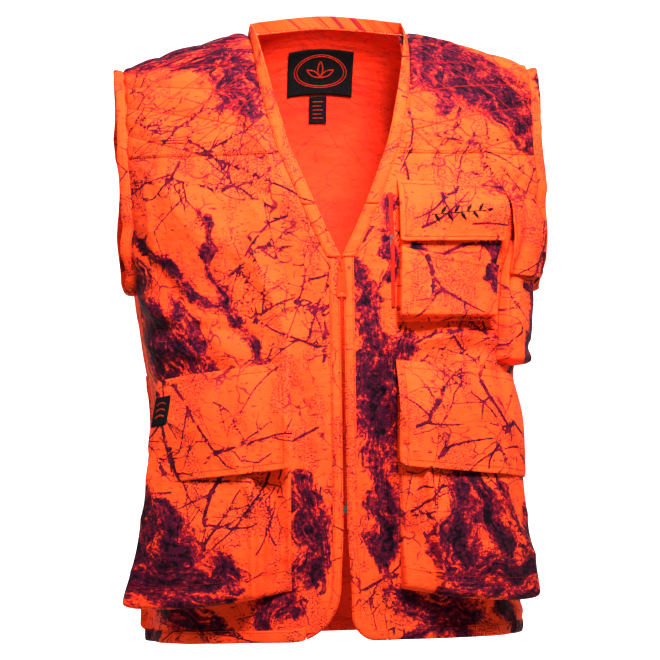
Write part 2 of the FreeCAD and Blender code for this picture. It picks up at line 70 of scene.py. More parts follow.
def smooth(stops, q):
    """Values between (q, value) stops, with no kink at a stop."""
    xs, ys = np.array(stops, float).T
    q = np.clip(np.asarray(q, float), xs[0], xs[-1])
    i = np.clip(np.searchsorted(xs, q, side="left") - 1, 0, len(xs) - 2)
    before, after = np.maximum(i - 1, 0), np.minimum(i + 2, len(xs) - 1)
    step = xs[i + 1] - xs[i]
    ma = (ys[i + 1] - ys[before]) / (xs[i + 1] - xs[before]) * step
    mb = (ys[after] - ys[i]) / (xs[after] - xs[i]) * step
    t = (q - xs[i]) / step
    return (
        ys[i] * (2 * t**3 - 3 * t**2 + 1) + ma * (t**3 - 2 * t**2 + t)
        + ys[i + 1] * (3 * t**2 - 2 * t**3) + mb * (t**3 - t**2)
    )


def ease(t):
    t = np.clip(t, 0.0, 1.0)
    return t * t * (3 - 2 * t)


def mix(a, b, t):
    return a + (b - a) * t


def packed(edge, few, many):
    """Parameters from 0 to 1, with a few of them below edge."""
    return np.concatenate([np.linspace(0, edge, few)[:-1], np.linspace(edge, 1, many)])


def torso_point(phi, q):
    phi, q = np.broadcast_arrays(np.asarray(phi, float), np.asarray(q, float))
    r = np.radians(phi)
    square = 1 + BOXINESS * np.sin(2 * r) ** 2
    x = smooth(HALF_WIDTH, q) * np.sin(r) * square
    depth = np.where(np.cos(r) > 0, FRONT_DEPTH, smooth(BACK_DEPTH, q))
    turn = np.maximum(0.0, (q - Q_CHEST) / (Q_RIDGE - Q_CHEST)) * math.pi / 2
    y = -depth * np.cos(r) * square * np.cos(turn)
    ridge = NECK_HEIGHT - SLOPE * (np.hypot(x, ROUNDING) - math.hypot(NECK_X, ROUNDING))
    height = np.minimum(q, Q_CHEST) + (ridge - Q_CHEST) * np.sin(turn)
    height = height - HEM_DROP * (1 - np.cos(r)) * ease(1 - q / Q_CHEST)
    return np.stack([x, y, height - NECK_HEIGHT], axis=-1)


def unit(v):
    return v / np.maximum(np.linalg.norm(v, axis=-1, keepdims=True), 1e-12)


def frame_at(phi, q):
    """(round the body, up the cloth, outward) unit vectors."""
    step = 0.5
    round_it = unit(torso_point(phi + step, q) - torso_point(phi - step, q))
    top = np.minimum(q + 0.0005, Q_RIDGE)
    up = unit(torso_point(phi, top) - torso_point(phi, top - 0.001))
    out = unit(np.cross(round_it, up))
    return round_it, unit(np.cross(out, round_it)), out


def phi_at(x, q):
    """The front phi at a distance x from the middle."""
    x, q = np.broadcast_arrays(np.asarray(x, float), np.asarray(q, float))
    low, high = np.zeros(x.shape), np.full(x.shape, 89.0)
    for _ in range(30):
        mid = (low + high) / 2
        inside = torso_point(mid, q)[..., 0] < np.abs(x)
        low, high = np.where(inside, mid, low), np.where(inside, high, mid)
    return np.copysign(low, x)


def neck_x(q):
    return smooth(NECK_SEAM, q)


def back_neck_q(x):
    share = np.minimum(1.0, np.abs(x) / NECK_SEAM[-1][1])
    return Q_RIDGE - BACK_NECK_DROP * (1 - share**2) ** 0.8


def armhole(t):
    """(phi, q) up the armhole's front edge."""
    t = np.asarray(t, float)
    turn = np.minimum(t / ARM_TURN, 1) * math.pi / 2
    rise = np.maximum((t - ARM_TURN) / (1 - ARM_TURN), 0)
    phi = 90 - (90 - ARM_PHI) * np.sin(turn) + 2 * rise
    q = ARM_LOW + (ARM_MID - ARM_LOW) * (1 - np.cos(turn)) + (Q_RIDGE - ARM_MID) * rise
    return phi, q


def hem_q(x, corner, inset=0.0):
    """q of the front hem, rounded at its corner."""
    run = np.maximum(corner + EDGE_X - x, 0)
    curved = corner - np.sqrt(np.maximum(0.0, (corner - inset) ** 2 - run**2))
    return np.where(run <= 0, inset, curved)


def spread(x, q):
    return x + 0.004 * ease((ZIP_LOW - 0.005 - q) / 0.09) * np.maximum(0.0, 1 - x / FOLD_X)


ARC_PHI = np.linspace(-180, 180, 721)
ARC = np.concatenate([[0], np.cumsum(np.linalg.norm(np.diff(
    torso_point(ARC_PHI, 0.3), axis=0), axis=1))])
ARC = ARC - np.interp(0, ARC_PHI, ARC)


def cloth_x(phi):
    """Distance round the body from the front middle, positive to the wearer's left."""
    return np.interp(np.where(np.asarray(phi) > 180, np.asarray(phi) - 360, phi), ARC_PHI, ARC)


def lattice(x, y, seed):
    """Smooth value noise in -1..1."""
    xi, yi = np.floor(x), np.floor(y)
    xf, yf = ease(x - xi), ease(y - yi)

    def corner(i, j):
        return np.modf(np.abs(np.sin((xi + i) * 127.1 + (yi + j) * 311.7 + seed * 74.7) * 43758.5))[0]

    low = mix(corner(0, 0), corner(1, 0), xf)
    high = mix(corner(0, 1), corner(1, 1), xf)
    return mix(low, high, yf) * 2 - 1


# Soft folds in the body: (x, h) to (x, h) as seen from the front, half width, height, in
# metres. x is from the zip, positive to the wearer's left, and h is above the hem.
FOLDS = [
    (-0.265, 0.400, -0.120, 0.330, 0.013, 0.0065),
    (-0.255, 0.365, -0.100, 0.345, 0.009, -0.0050),
    (-0.260, 0.340, -0.130, 0.318, 0.009, 0.0050),
    (-0.064, 0.320, -0.054, 0.060, 0.010, 0.0080),
    (-0.044, 0.330, -0.036, 0.040, 0.007, -0.0070),
    (-0.090, 0.450, -0.060, 0.300, 0.018, 0.0070),
    (-0.180, 0.520, -0.080, 0.380, 0.018, 0.0070),
    (-0.160, 0.500, -0.070, 0.360, 0.010, -0.0040),
    (-0.230, 0.470, -0.150, 0.340, 0.010, -0.0055),
    (-0.040, 0.480, -0.110, 0.560, 0.014, 0.0035),
    (0.050, 0.430, 0.060, 0.230, 0.010, 0.0085),
    (0.040, 0.300, 0.040, 0.060, 0.009, -0.0100),
    (0.068, 0.210, 0.046, 0.070, 0.008, 0.0085),
    (0.026, 0.190, 0.044, 0.040, 0.006, 0.0090),
    (0.062, 0.505, 0.062, 0.360, 0.007, -0.0045),
    (0.150, 0.345, 0.060, 0.330, 0.010, 0.0050),
    (0.265, 0.330, 0.130, 0.322, 0.009, -0.0045),
    (0.260, 0.310, 0.120, 0.345, 0.008, 0.0045),
    (0.196, 0.500, 0.190, 0.300, 0.007, -0.0060),
    (0.110, 0.580, 0.220, 0.520, 0.014, 0.0045),
    (-0.120, 0.060, -0.240, 0.020, 0.010, 0.0050),
    (-0.160, 0.050, -0.200, 0.005, 0.008, -0.0040),
    (0.110, 0.055, 0.240, 0.025, 0.010, 0.0050),
    (0.140, 0.045, 0.150, 0.000, 0.010, 0.0045),
    (-0.070, 0.045, -0.110, 0.005, 0.010, 0.0045),
]


def fold_line(x, h, line):
    x0, h0, x1, h1, width, height = line
    run = np.array([x1 - x0, h1 - h0])
    size = run @ run
    t = np.clip(((x - x0) * run[0] + (h - h0) * run[1]) / size, 0, 1)
    away = np.hypot(x - x0 - t * run[0], h - h0 - t * run[1])
    return height * np.exp(-((away / width) ** 2)) * (0.35 + 0.65 * np.sin(np.pi * np.clip(t, 0.05, 0.95)))


def relief(phi, q):
    """How far the worn cloth lies off the plain torso surface."""
    s = cloth_x(phi)
    wide = 0.0050 * lattice(s / 0.12 + 3, q / 0.20, 1) + 0.0034 * lattice(s / 0.05, q / 0.085 + 7, 2)
    ridge = 1 - np.abs(lattice(s / 0.075 + q / 0.16, q / 0.17 - s / 0.11, 4))
    crease = 1 - np.abs(lattice(s / 0.034 - q / 0.09, q / 0.07 + s / 0.06, 6))
    fine = 0.0010 * lattice(s / 0.019, q / 0.034, 3) + 0.0016 * (crease**5 - 0.15)
    total = wide + fine + 0.0048 * (ridge**4 - 0.2)
    for line in FOLDS:
        total = total + fold_line(s, q, line)
    near_zip = ease((np.abs(s) - 0.016) / 0.045)
    near_spine = ease((ARC[-1] - np.abs(s)) / 0.10)
    high = 1 - 0.6 * ease((q - 0.55) / 0.15)
    return total * near_zip * near_spine * high


def lift(phi, q, off, side=1):
    """Points at a distance off the worn cloth; side -1 is the wearer's right."""
    phi, q = np.broadcast_arrays(np.asarray(phi, float), np.asarray(q, float))
    level = np.asarray(off, float) + relief(phi * side, q)
    points = torso_point(phi, q) + frame_at(phi, q)[2] * level[..., None]
    return points * np.array([side, 1, 1])


# ---- meshes ----------------------------------------------------------------------------------


class Cloth:
    """Gathers the grids of one piece, with print coordinates st in metres."""

    def __init__(self, name):
        self.name, self.points, self.faces, self.slots, self.st, self.count = name, [], [], [], [], 0

    def grid(self, points, st, slot=0, flip=False):
        rows, columns = points.shape[:2]
        index = self.count + np.arange(rows * columns).reshape(rows, columns)
        quads = np.stack([index[:-1, :-1], index[:-1, 1:], index[1:, 1:], index[1:, :-1]], -1)
        quads = quads.reshape(-1, 4)
        self.faces.append(quads[:, ::-1] if flip else quads)
        self.slots.append(np.full(len(quads), slot))
        self.points.append(points.reshape(-1, 3))
        self.st.append(np.broadcast_to(st, points.shape[:2] + (2,)).reshape(-1, 2))
        self.count += rows * columns
        return index

    def rim(self, a, b, slot, flip):
        """Joins the borders of two grids of the same shape."""

        def ring(i):
            return np.concatenate([i[0, :-1], i[:-1, -1], i[-1, :0:-1], i[:0:-1, 0]])

        ra, rb = ring(a), ring(b)
        quads = np.stack([ra, rb, np.roll(rb, -1), np.roll(ra, -1)], -1)
        self.faces.append(quads[:, ::-1] if flip else quads)
        self.slots.append(np.full(len(quads), slot))

    def shell(self, outer, inner, st, slots=(0, 0), flip=False):
        """A closed layer between two grids."""
        a = self.grid(outer, st, slots[0], flip)
        b = self.grid(inner, st, slots[1], not flip)
        self.rim(a, b, slots[0], flip)

    def thread(self, path, normal, width, height, slot, st=(0.0, 0.0)):
        """A raised ribbon of thread along a path of points."""
        path, normal = np.asarray(path, float), np.asarray(normal, float)
        along = unit(np.gradient(path, axis=0))
        across = unit(np.cross(normal, along))
        angles = np.linspace(0, 2 * np.pi, 7)
        rows = [
            path + across * (math.cos(a) * width / 2) + normal * (math.sin(a) * height / 2 + height * 0.3)
            for a in angles
        ]
        self.grid(np.stack(rows, 0), st, slot)

    def stitches(self, path, normal, slot=1, pitch=0.0034, length=0.0024):
        """A row of short threads along a path."""
        path, normal = np.asarray(path, float), np.asarray(normal, float)
        run = np.concatenate([[0], np.cumsum(np.linalg.norm(np.diff(path, axis=0), axis=1))])
        starts = np.arange(0, run[-1] - length, pitch)
        if len(starts) == 0:
            return

        def at(d, values):
            return np.stack([np.interp(d, run, values[:, k]) for k in range(3)], -1)

        a, b, n = at(starts, path), at(starts + length, path), unit(at(starts, normal))
        along = unit(b - a)
        across = np.cross(n, along) * 0.00032
        rise = n * 0.00042
        corners = [
            a - across, a + across, b + across, b - across,
            a + rise + along * 0.0003 - across * 0.6, a + rise + along * 0.0003 + across * 0.6,
            b + rise - along * 0.0003 + across * 0.6, b + rise - along * 0.0003 - across * 0.6,
        ]
        points = np.stack(corners, 1).reshape(-1, 3)
        base = self.count + 8 * np.arange(len(a))[:, None, None]
        box = np.array([[4, 5, 6, 7], [0, 1, 5, 4], [1, 2, 6, 5], [2, 3, 7, 6], [3, 0, 4, 7], [3, 2, 1, 0]])
        quads = (base + box[None]).reshape(-1, 4)
        self.points.append(points)
        self.faces.append(quads)
        self.slots.append(np.full(len(quads), slot))
        self.st.append(np.zeros((len(points), 2)))
        self.count += len(points)

    def join(self, part):
        """Adds all that another Cloth has gathered."""
        for field in ("points", "slots", "st"):
            getattr(self, field).extend(getattr(part, field))
        self.faces.extend(face + self.count for face in part.faces)
        self.count += part.count

    def build(self, materials, marks=None):
        points, st = np.concatenate(self.points), np.concatenate(self.st)
        faces = np.concatenate(self.faces)
        mesh = bpy.data.meshes.new(self.name)
        mesh.from_pydata(points.tolist(), [], faces.tolist())
        for material in materials:
            mesh.materials.append(material)
        mesh.polygons.foreach_set("material_index", np.concatenate(self.slots).astype(np.int32))
        mesh.polygons.foreach_set("use_smooth", np.ones(len(faces), bool))
        layer = mesh.uv_layers.new(name="print")
        layer.data.foreach_set("uv", st[faces.reshape(-1)].astype(np.float32).reshape(-1))
        if marks is not None:
            for name, values in marks.fields(st).items():
                kind = "FLOAT_VECTOR" if values.ndim == 2 else "FLOAT"
                attribute = mesh.attributes.new(name, kind, "POINT")
                key = "vector" if values.ndim == 2 else "value"
                attribute.data.foreach_set(key, values.astype(np.float32).reshape(-1))
        piece = bpy.data.objects.new(self.name, mesh)
        bpy.context.scene.collection.objects.link(piece)
        return piece


# ---- the print ------------------------------------------------------------------------------


# A twig grows in steps this long, and its side twigs fork again this many times.
TWIG_STEP, FORKS = 0.0015, 3


class Marks:
    """The printed branches and bark on one piece, in its print coordinates."""

    def __init__(self, seed, area, bark=(), limbs=(), twigs=10):
        self.bark = bark
        self.random = np.random.default_rng(seed)
        self.samples = []
        (s0, t0), (s1, t1) = area
        for s, t, heading, length, width in limbs:
            self.branch((s, t), heading, length, width, FORKS)
        for _ in range(twigs):
            start = self.random.uniform((s0, t0), (s1, t1))
            self.branch(start, self.random.uniform(0, 360), self.random.uniform(0.05, 0.15),
                        self.random.uniform(0.0005, 0.0014), FORKS)

    def branch(self, start, heading, length, width, depth):
        """A crooked twig with forks and buds."""
        point, angle = np.array(start, float), math.radians(heading)
        steps = max(3, int(length / TWIG_STEP))
        bend = self.random.normal(0, 0.010)
        for i in range(steps):
            if self.random.random() < 0.035:
                angle += self.random.normal(0, 0.45)
            angle += bend + self.random.normal(0, 0.035)
            point = point + TWIG_STEP * np.array([math.cos(angle), math.sin(angle)])
            taper = width * (1 - 0.65 * i / steps)
            bud = 1.9 if self.random.random() < 0.035 else 1.0
            self.samples.append((*point, math.cos(angle), math.sin(angle), taper * bud))
            if depth > 0 and self.random.random() < 0.030:
                turn = self.random.choice([-1, 1]) * self.random.uniform(28, 70)
                self.branch(point, math.degrees(angle) + turn, length * self.random.uniform(0.3, 0.6),
                            taper * 0.7, depth - 1)

    def bark_fields(self, st):
        """How deep in bark each place is, and its place along and across the stroke."""
        count, (s, t) = len(st), st.T
        ragged = [
            0.009 * lattice(s / 0.026, t / 0.026, seed) + 0.0045 * lattice(s / 0.009, t / 0.009, seed + 1)
            for seed in (5, 8)
        ]
        st = st + np.stack(ragged, -1)
        bark, grain = np.zeros(count), np.zeros((count, 3))
        for i, (s0, t0, s1, t1, w0, w1) in enumerate(self.bark):
            run = np.array([s1 - s0, t1 - t0])
            size = math.hypot(*run)
            along = ((st - (s0, t0)) @ run) / size
            across = ((st - (s0, t0)) @ np.array([-run[1], run[0]])) / size
            share = np.clip(along / size, 0, 1)
            away = np.hypot(across, np.maximum(np.maximum(-along, along - size), 0))
            half = mix(w0, w1, share) * (0.55 + 0.75 * np.sin(np.pi * share) ** 0.6)
            value = np.clip(1.30 - 0.9 * away / half, 0, 1)
            better = value > bark
            bark = np.where(better, value, bark)
            near = np.stack([along, across, np.full(count, i * 0.37)], -1)
            grain = np.where(better[:, None], near, grain)
        return bark, grain

    def fields(self, st):
        bark, grain = self.bark_fields(st)
        count = len(st)
        side, near, wide = np.full(count, 0.05), np.full(count, 0.05), np.full(count, 0.001)
        if self.samples:
            tree = kdtree.KDTree(len(self.samples))
            for i, sample in enumerate(self.samples):
                tree.insert((sample[0], sample[1], 0), i)
            tree.balance()
            samples = np.array(self.samples)
            found = np.array([tree.find((a, b, 0))[1] for a, b in st])
            gap = st - samples[found, :2]
            side = gap[:, 1] * samples[found, 2] - gap[:, 0] * samples[found, 3]
            near, wide = np.hypot(*gap.T), samples[found, 4]
        return {
            "bark": bark, "grain": grain,
            "twig_side": side * 1000, "twig_near": near * 1000, "twig_wide": wide * 1000,
        }


# ---- materials ------------------------------------------------------------------------------


class Nodes:
    """A short way to write a material's node tree."""

    def __init__(self, name):
        self.material = bpy.data.materials.new(name)
        self.material.use_nodes = True
        self.tree = self.material.node_tree
        self.shader = self.tree.nodes["Principled BSDF"]

    def add(self, kind, inputs=None, **settings):
        node = self.tree.nodes.new("ShaderNode" + kind)
        for key, value in settings.items():
            setattr(node, key, value)
        for key, value in (inputs or {}).items():
            socket = node.inputs[key]
            if isinstance(value, bpy.types.NodeSocket):
                self.tree.links.new(value, socket)
            else:
                socket.default_value = value
        return node

    def math(self, operation, a, b=0.0, c=0.0):
        return self.add("Math", {0: a, 1: b, 2: c}, operation=operation).outputs[0]

    def times(self, a, b):
        return self.math("MULTIPLY", a, b)

    def flipped(self, a):
        """1 less a."""
        return self.math("SUBTRACT", 1.0, a)

    def step(self, value, low, high):
        """0 below low, 1 above high."""
        node = self.add("MapRange", {"Value": value, "From Min": low, "From Max": high},
                        interpolation_type="SMOOTHSTEP")
        return node.outputs["Result"]

    def colour(self, a, b, factor):
        node = self.add("Mix", None, data_type="RGBA")
        for key, value in ((0, factor), (6, a), (7, b)):
            if isinstance(value, bpy.types.NodeSocket):
                self.tree.links.new(value, node.inputs[key])
            elif key == 0:
                node.inputs[key].default_value = value
            else:
                node.inputs[key].default_value = (*value, 1.0)
        return node.outputs[2]

    def noise(self, vector, scale, detail=3.0, rough=0.55, distortion=0.0):
        node = self.add("TexNoise", {"Vector": vector, "Scale": scale, "Detail": detail,
                                     "Roughness": rough, "Distortion": distortion})
        return node.outputs["Fac"]

    def attribute(self, name, out="Fac"):
        return self.add("Attribute", None, attribute_name=name).outputs[out]

    def print_place(self):
        return self.add("UVMap", None, uv_map="print").outputs["UV"]

    def scaled(self, vector, scale):
        return self.add("VectorMath", {0: vector, 1: scale}, operation="MULTIPLY").outputs[0]

    def bump(self, height, distance, strength=1.0, under=None):
        inputs = {"Height": height, "Distance": distance, "Strength": strength}
        if under is not None:
            inputs["Normal"] = under
        return self.add("Bump", inputs).outputs["Normal"]

    def finish(self, colour, roughness, normal=None, sheen=0.0, metallic=0.0):
        for key, value in (("Base Color", colour), ("Roughness", roughness), ("Normal", normal)):
            if isinstance(value, bpy.types.NodeSocket):
                self.tree.links.new(value, self.shader.inputs[key])
            elif value is not None:
                self.shader.inputs[key].default_value = value if key == "Roughness" else (*value, 1.0)
        self.shader.inputs["Metallic"].default_value = metallic
        self.shader.inputs["Sheen Weight"].default_value = sheen
        self.shader.inputs["Sheen Roughness"].default_value = 0.5
        self.shader.inputs["Specular IOR Level"].default_value = 0.03 if metallic == 0 else 0.5
        return self.material


ORANGE, DEEP_ORANGE = (1.0, 0.059, 0.0100), (1.0, 0.041, 0.0068)
RED = (0.55, 0.012, 0.006)
MAROON, PLUM, BLACK = (0.110, 0.0028, 0.012), (0.033, 0.0022, 0.0100), (0.0040, 0.0010, 0.0026)
SEAM = (0.20, 0.004, 0.003)


def weave(nodes, place, pitch=0.0011):
    """A fine diagonal twill, as height."""
    turned = nodes.add("VectorRotate", {"Vector": place, "Angle": 0.9}, rotation_type="Z_AXIS").outputs[0]
    wave = nodes.add("TexWave", {"Vector": turned, "Scale": 0.32 / pitch, "Distortion": 0.6,
                                 "Detail": 1.0}, wave_type="BANDS").outputs["Fac"]
    grain = nodes.noise(place, 1400, 2.0)
    return nodes.math("ADD", nodes.times(wave, 0.55), nodes.times(grain, 0.6))


def small_marks(n, place):
    """Stippled patches, hairline twigs and flecks, as a 0 to 1 mask."""
    patch = n.step(n.noise(n.scaled(place, (1.0, 0.45, 1.0)), 26, 3.0, 0.6, 0.4), 0.50, 0.57)
    dots = n.step(n.noise(place, 520, 2.0, 0.6), 0.515, 0.55)
    stipple = n.times(patch, dots)
    warp = n.add("TexNoise", {"Vector": place, "Scale": 30.0, "Detail": 2.0}).outputs["Color"]
    bent = n.add("MixRGB", {"Fac": 0.035, "Color1": place, "Color2": warp}).outputs[0]
    cells = n.add("TexVoronoi", {"Vector": bent, "Scale": 26.0}, feature="DISTANCE_TO_EDGE")
    hair = n.flipped(n.step(cells.outputs["Distance"], 0.008, 0.026))
    hair = n.times(hair, n.step(n.noise(place, 21, 3.0), 0.49, 0.54))
    fleck = n.step(n.noise(n.scaled(place, (1.0, 2.2, 1.0)), 115, 4.0, 0.62), 0.605, 0.64)
    return n.math("MAXIMUM", n.math("MAXIMUM", stipple, hair), fleck)


def print_branches(n, place, ragged, cloth, contrast):
    wander = n.times(n.math("SUBTRACT", ragged, 0.5), 2.6)
    line = n.math("ADD", n.math("ABSOLUTE", n.attribute("twig_side")), wander)
    wide = n.attribute("twig_wide")
    twig = n.flipped(n.step(n.math("SUBTRACT", line, wide), -0.15, 0.45))
    twig = n.times(twig, n.flipped(n.step(n.attribute("twig_near"), 3.2, 4.2)))
    twig = n.times(twig, n.step(n.noise(place, 60, 2.0), 0.33, 0.42))
    twig_colour = n.colour(MAROON, PLUM, n.step(n.noise(place, 90, 3.0), 0.40, 0.60))
    return n.colour(cloth, twig_colour, n.times(twig, contrast))


def print_bark(n, place, crumb, cloth, contrast):
    """Streaks that follow the trunk, darker towards its middle, over a red underlay."""
    grain = n.attribute("grain", "Vector")
    level = n.times(n.attribute("bark"), 1.32)
    streak = n.noise(n.scaled(grain, (34.0, 170.0, 1.0)), 1.0, 5.0, 0.66, 0.25)
    for field, share in ((streak, 5.4), (n.noise(place, 48, 4.0, 0.62, 0.4), 3.2), (crumb, 4.6)):
        level = n.math("ADD", level, n.times(n.math("SUBTRACT", field, 0.5), share))
    inside = n.step(n.attribute("bark"), 0.02, 0.20)
    around = n.step(n.attribute("bark"), 0.15, 0.55)
    # colour, where it starts and is full, where it may lie, and its strength
    for colour, low, high, where, share in (
        (RED, -0.30, 0.40, around, 0.70), (MAROON, 0.36, 0.50, inside, 0.92),
        (PLUM, 0.92, 1.14, inside, 1.0), (BLACK, 1.66, 2.00, inside, 1.0),
    ):
        mask = n.times(n.step(level, low, high), where)
        cloth = n.colour(cloth, colour, n.times(mask, share * contrast))
    return cloth


def print_quilting(n, cloth):
    lines = n.add("SeparateXYZ", {0: n.attribute("quilt", "Vector")}).outputs
    for line in lines[:2]:
        stitch = n.flipped(n.step(n.math("PINGPONG", line, 0.5), 0.010, 0.028))
        cloth = n.colour(cloth, SEAM, n.times(stitch, 0.75))
    return cloth


def creases(n, place):
    """The weave, puckers and crumples of the cloth, as a normal."""
    fine = n.bump(weave(n, place), 0.00025, 0.5)
    pucker = n.noise(n.scaled(place, (1.0, 1.6, 1.0)), 48, 3.0, 0.5, 0.3)
    crumple = n.noise(n.scaled(place, (1.3, 1.0, 1.0)), 17, 4.0, 0.5, 0.8)
    crumple = n.math("ABSOLUTE", n.math("SUBTRACT", crumple, 0.5))
    return n.bump(crumple, 0.0120, 0.35, n.bump(pucker, 0.0040, 0.50, fine))


def camo(name, contrast=1.0, base=ORANGE, deep=DEEP_ORANGE, quilted=False):
    """Blaze orange cloth printed with bark and bare branches."""
    n = Nodes(name)
    place = n.print_place()
    cloth = n.colour(base, deep, n.step(n.noise(place, 9, 3.0), 0.35, 0.75))
    ragged = n.noise(place, 420, 4.0, 0.65)
    crumb = n.noise(place, 230, 5.0, 0.75)
    cloth = n.colour(cloth, MAROON, n.times(small_marks(n, place), 0.92 * contrast))
    cloth = print_branches(n, place, ragged, cloth, contrast)
    cloth = print_bark(n, place, crumb, cloth, contrast)
    if quilted:
        cloth = print_quilting(n, cloth)
    rough = n.math("MULTIPLY_ADD", crumb, 0.18, 0.62)
    return n.finish(cloth, rough, creases(n, place), sheen=0.006)


def plain(name, colour, roughness, scale=900, bump=0.0002, metallic=0.0, other=None):
    """A plain material with a little variation and grain."""
    n = Nodes(name)
    place = n.add("TexCoord").outputs["Object"]
    spots = n.noise(place, scale / 8, 4.0)
    tone = n.colour(colour, other or tuple(c * 0.6 for c in colour), n.step(spots, 0.35, 0.75))
    normal = n.bump(n.noise(place, scale, 3.0), bump, 0.6)
    rough = n.math("MULTIPLY_ADD", spots, 0.2, roughness - 0.1)
    return n.finish(tone, rough, normal, metallic=metallic)


OUTSIDE = camo("printed_cloth")
QUILTED = camo("printed_quilting", quilted=True)
INSIDE = camo("print_reverse", contrast=0.42, base=(0.95, 0.033, 0.0085), deep=(0.72, 0.022, 0.0075))
THREAD = plain("stitch_thread", (0.22, 0.006, 0.003), 0.6)
TAPE = plain("zip_tape_cloth", (0.34, 0.010, 0.004), 0.7, 2500)
PLASTIC = plain("zip_plastic_orange", (0.80, 0.032, 0.006), 0.35, 300, 0.00005)
METAL = plain("zip_metal_grey", (0.16, 0.16, 0.17), 0.35, 500, 0.00005, metallic=1.0)
BLACK_WEAVE = plain("label_black", (0.0030, 0.0028, 0.0032), 0.8, 2600, 0.0003, other=(0.006, 0.0055, 0.006))
MOTIF = plain("label_motif_thread", (0.34, 0.014, 0.006), 0.6, 2600, 0.0002)
DARK_THREAD = plain("emblem_thread_dark", (0.006, 0.002, 0.005), 0.5, 2600, 0.0002)
PILE = plain("fastener_pile", (0.40, 0.018, 0.006), 0.95, 1500, 0.0008)

SIDES = {"left": 1, "right": -1}


def st_of(phi, q, side=1, shift=(0.0, 0.0)):
    phi = np.asarray(phi, float)
    round_body = np.where(phi > 180, 2 * ARC[-1] - cloth_x(360 - phi), cloth_x(np.minimum(phi, 180)))
    s, t = np.broadcast_arrays(round_body * side + shift[0], np.asarray(q, float) + shift[1])
    return np.stack([s, t], -1)


def placed(piece, body, *nodes, slot=None):
    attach(piece, body)
    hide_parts(*nodes)
    return piece


# ---- body panels ----------------------------------------------------------------------------

# Bark strokes: (x, h) to (x, h), half width at each end, in print coordinates.
RIGHT_BARK = [
    (-0.290, 0.490, -0.200, 0.300, 0.016, 0.028),
    (-0.240, 0.400, -0.165, 0.310, 0.016, 0.018),
    (-0.252, 0.485, -0.126, 0.368, 0.004, 0.008),
    (-0.130, 0.372, -0.086, 0.310, 0.008, 0.005),
    (-0.180, 0.388, -0.142, 0.304, 0.006, 0.010),
    (-0.140, 0.486, -0.120, 0.362, 0.0045, 0.0050),
    (-0.252, 0.545, -0.262, 0.440, 0.008, 0.010),
    (-0.262, 0.640, -0.268, 0.540, 0.010, 0.010),
    (-0.050, 0.185, -0.030, 0.070, 0.018, 0.016),
    (-0.060, 0.085, -0.085, 0.020, 0.016, 0.020),
    (-0.245, 0.045, -0.130, 0.014, 0.012, 0.014),
]
LEFT_BARK = [
    (0.018, 0.425, 0.036, 0.320, 0.007, 0.018),
    (0.036, 0.330, 0.044, 0.170, 0.024, 0.022),
    (0.044, 0.180, 0.046, 0.072, 0.022, 0.008),
    (0.070, 0.345, 0.062, 0.270, 0.012, 0.010),
    (0.048, 0.500, 0.056, 0.400, 0.008, 0.006),
    (0.052, 0.052, 0.165, 0.016, 0.018, 0.012),
    (0.185, 0.052, 0.225, 0.008, 0.010, 0.008),
    (0.262, 0.340, 0.215, 0.300, 0.014, 0.010),
    (0.256, 0.560, 0.266, 0.450, 0.008, 0.010),
]
RIGHT_LIMBS = [
    (-0.152, 0.569, -39, 0.19, 0.0018), (-0.170, 0.529, -24, 0.15, 0.0014),
    (-0.052, 0.476, 200, 0.13, 0.0013), (-0.222, 0.515, 24, 0.10, 0.0012),
    (-0.036, 0.416, -105, 0.08, 0.0009), (-0.255, 0.540, -40, 0.09, 0.0013),
    (-0.030, 0.330, 150, 0.12, 0.0014), (-0.030, 0.240, 215, 0.12, 0.0016),
    (-0.200, 0.620, -60, 0.12, 0.0014), (-0.100, 0.630, -80, 0.08, 0.0012),
]
LEFT_LIMBS = [
    (0.075, 0.330, 20, 0.14, 0.0017), (0.120, 0.345, -50, 0.10, 0.0013),
    (0.060, 0.540, -50, 0.12, 0.0014), (0.240, 0.560, 200, 0.16, 0.0014),
    (0.200, 0.330, 150, 0.12, 0.0014), (0.030, 0.100, 30, 0.12, 0.0014),
    (0.150, 0.560, -20, 0.12, 0.0012), (0.012, 0.230, 60, 0.07, 0.0014),
]

RIGHT_SHOULDER = [
    (-0.215, 0.800, -0.080, 0.800, 0.050, 0.060),
    (-0.105, 0.720, -0.085, 0.600, 0.026, 0.016),
    (-0.150, 0.720, -0.100, 0.720, 0.020, 0.030),
]
LEFT_SHOULDER = [
    (0.088, 0.800, 0.140, 0.640, 0.030, 0.040),
    (0.130, 0.740, 0.210, 0.600, 0.040, 0.030),
    (0.180, 0.640, 0.240, 0.570, 0.026, 0.020),
    (0.082, 0.760, 0.112, 0.610, 0.020, 0.014),
]
# A front and the quilting over its shoulder share one print, so it runs on across the seam.
FRONT_MARKS = {
    "right": Marks(1, ((-0.29, 0.0), (0.0, 1.10)), RIGHT_BARK + RIGHT_SHOULDER, RIGHT_LIMBS, twigs=90),
    "left": Marks(2, ((0.0, 0.0), (0.29, 1.10)), LEFT_BARK + LEFT_SHOULDER, LEFT_LIMBS, twigs=100),
}


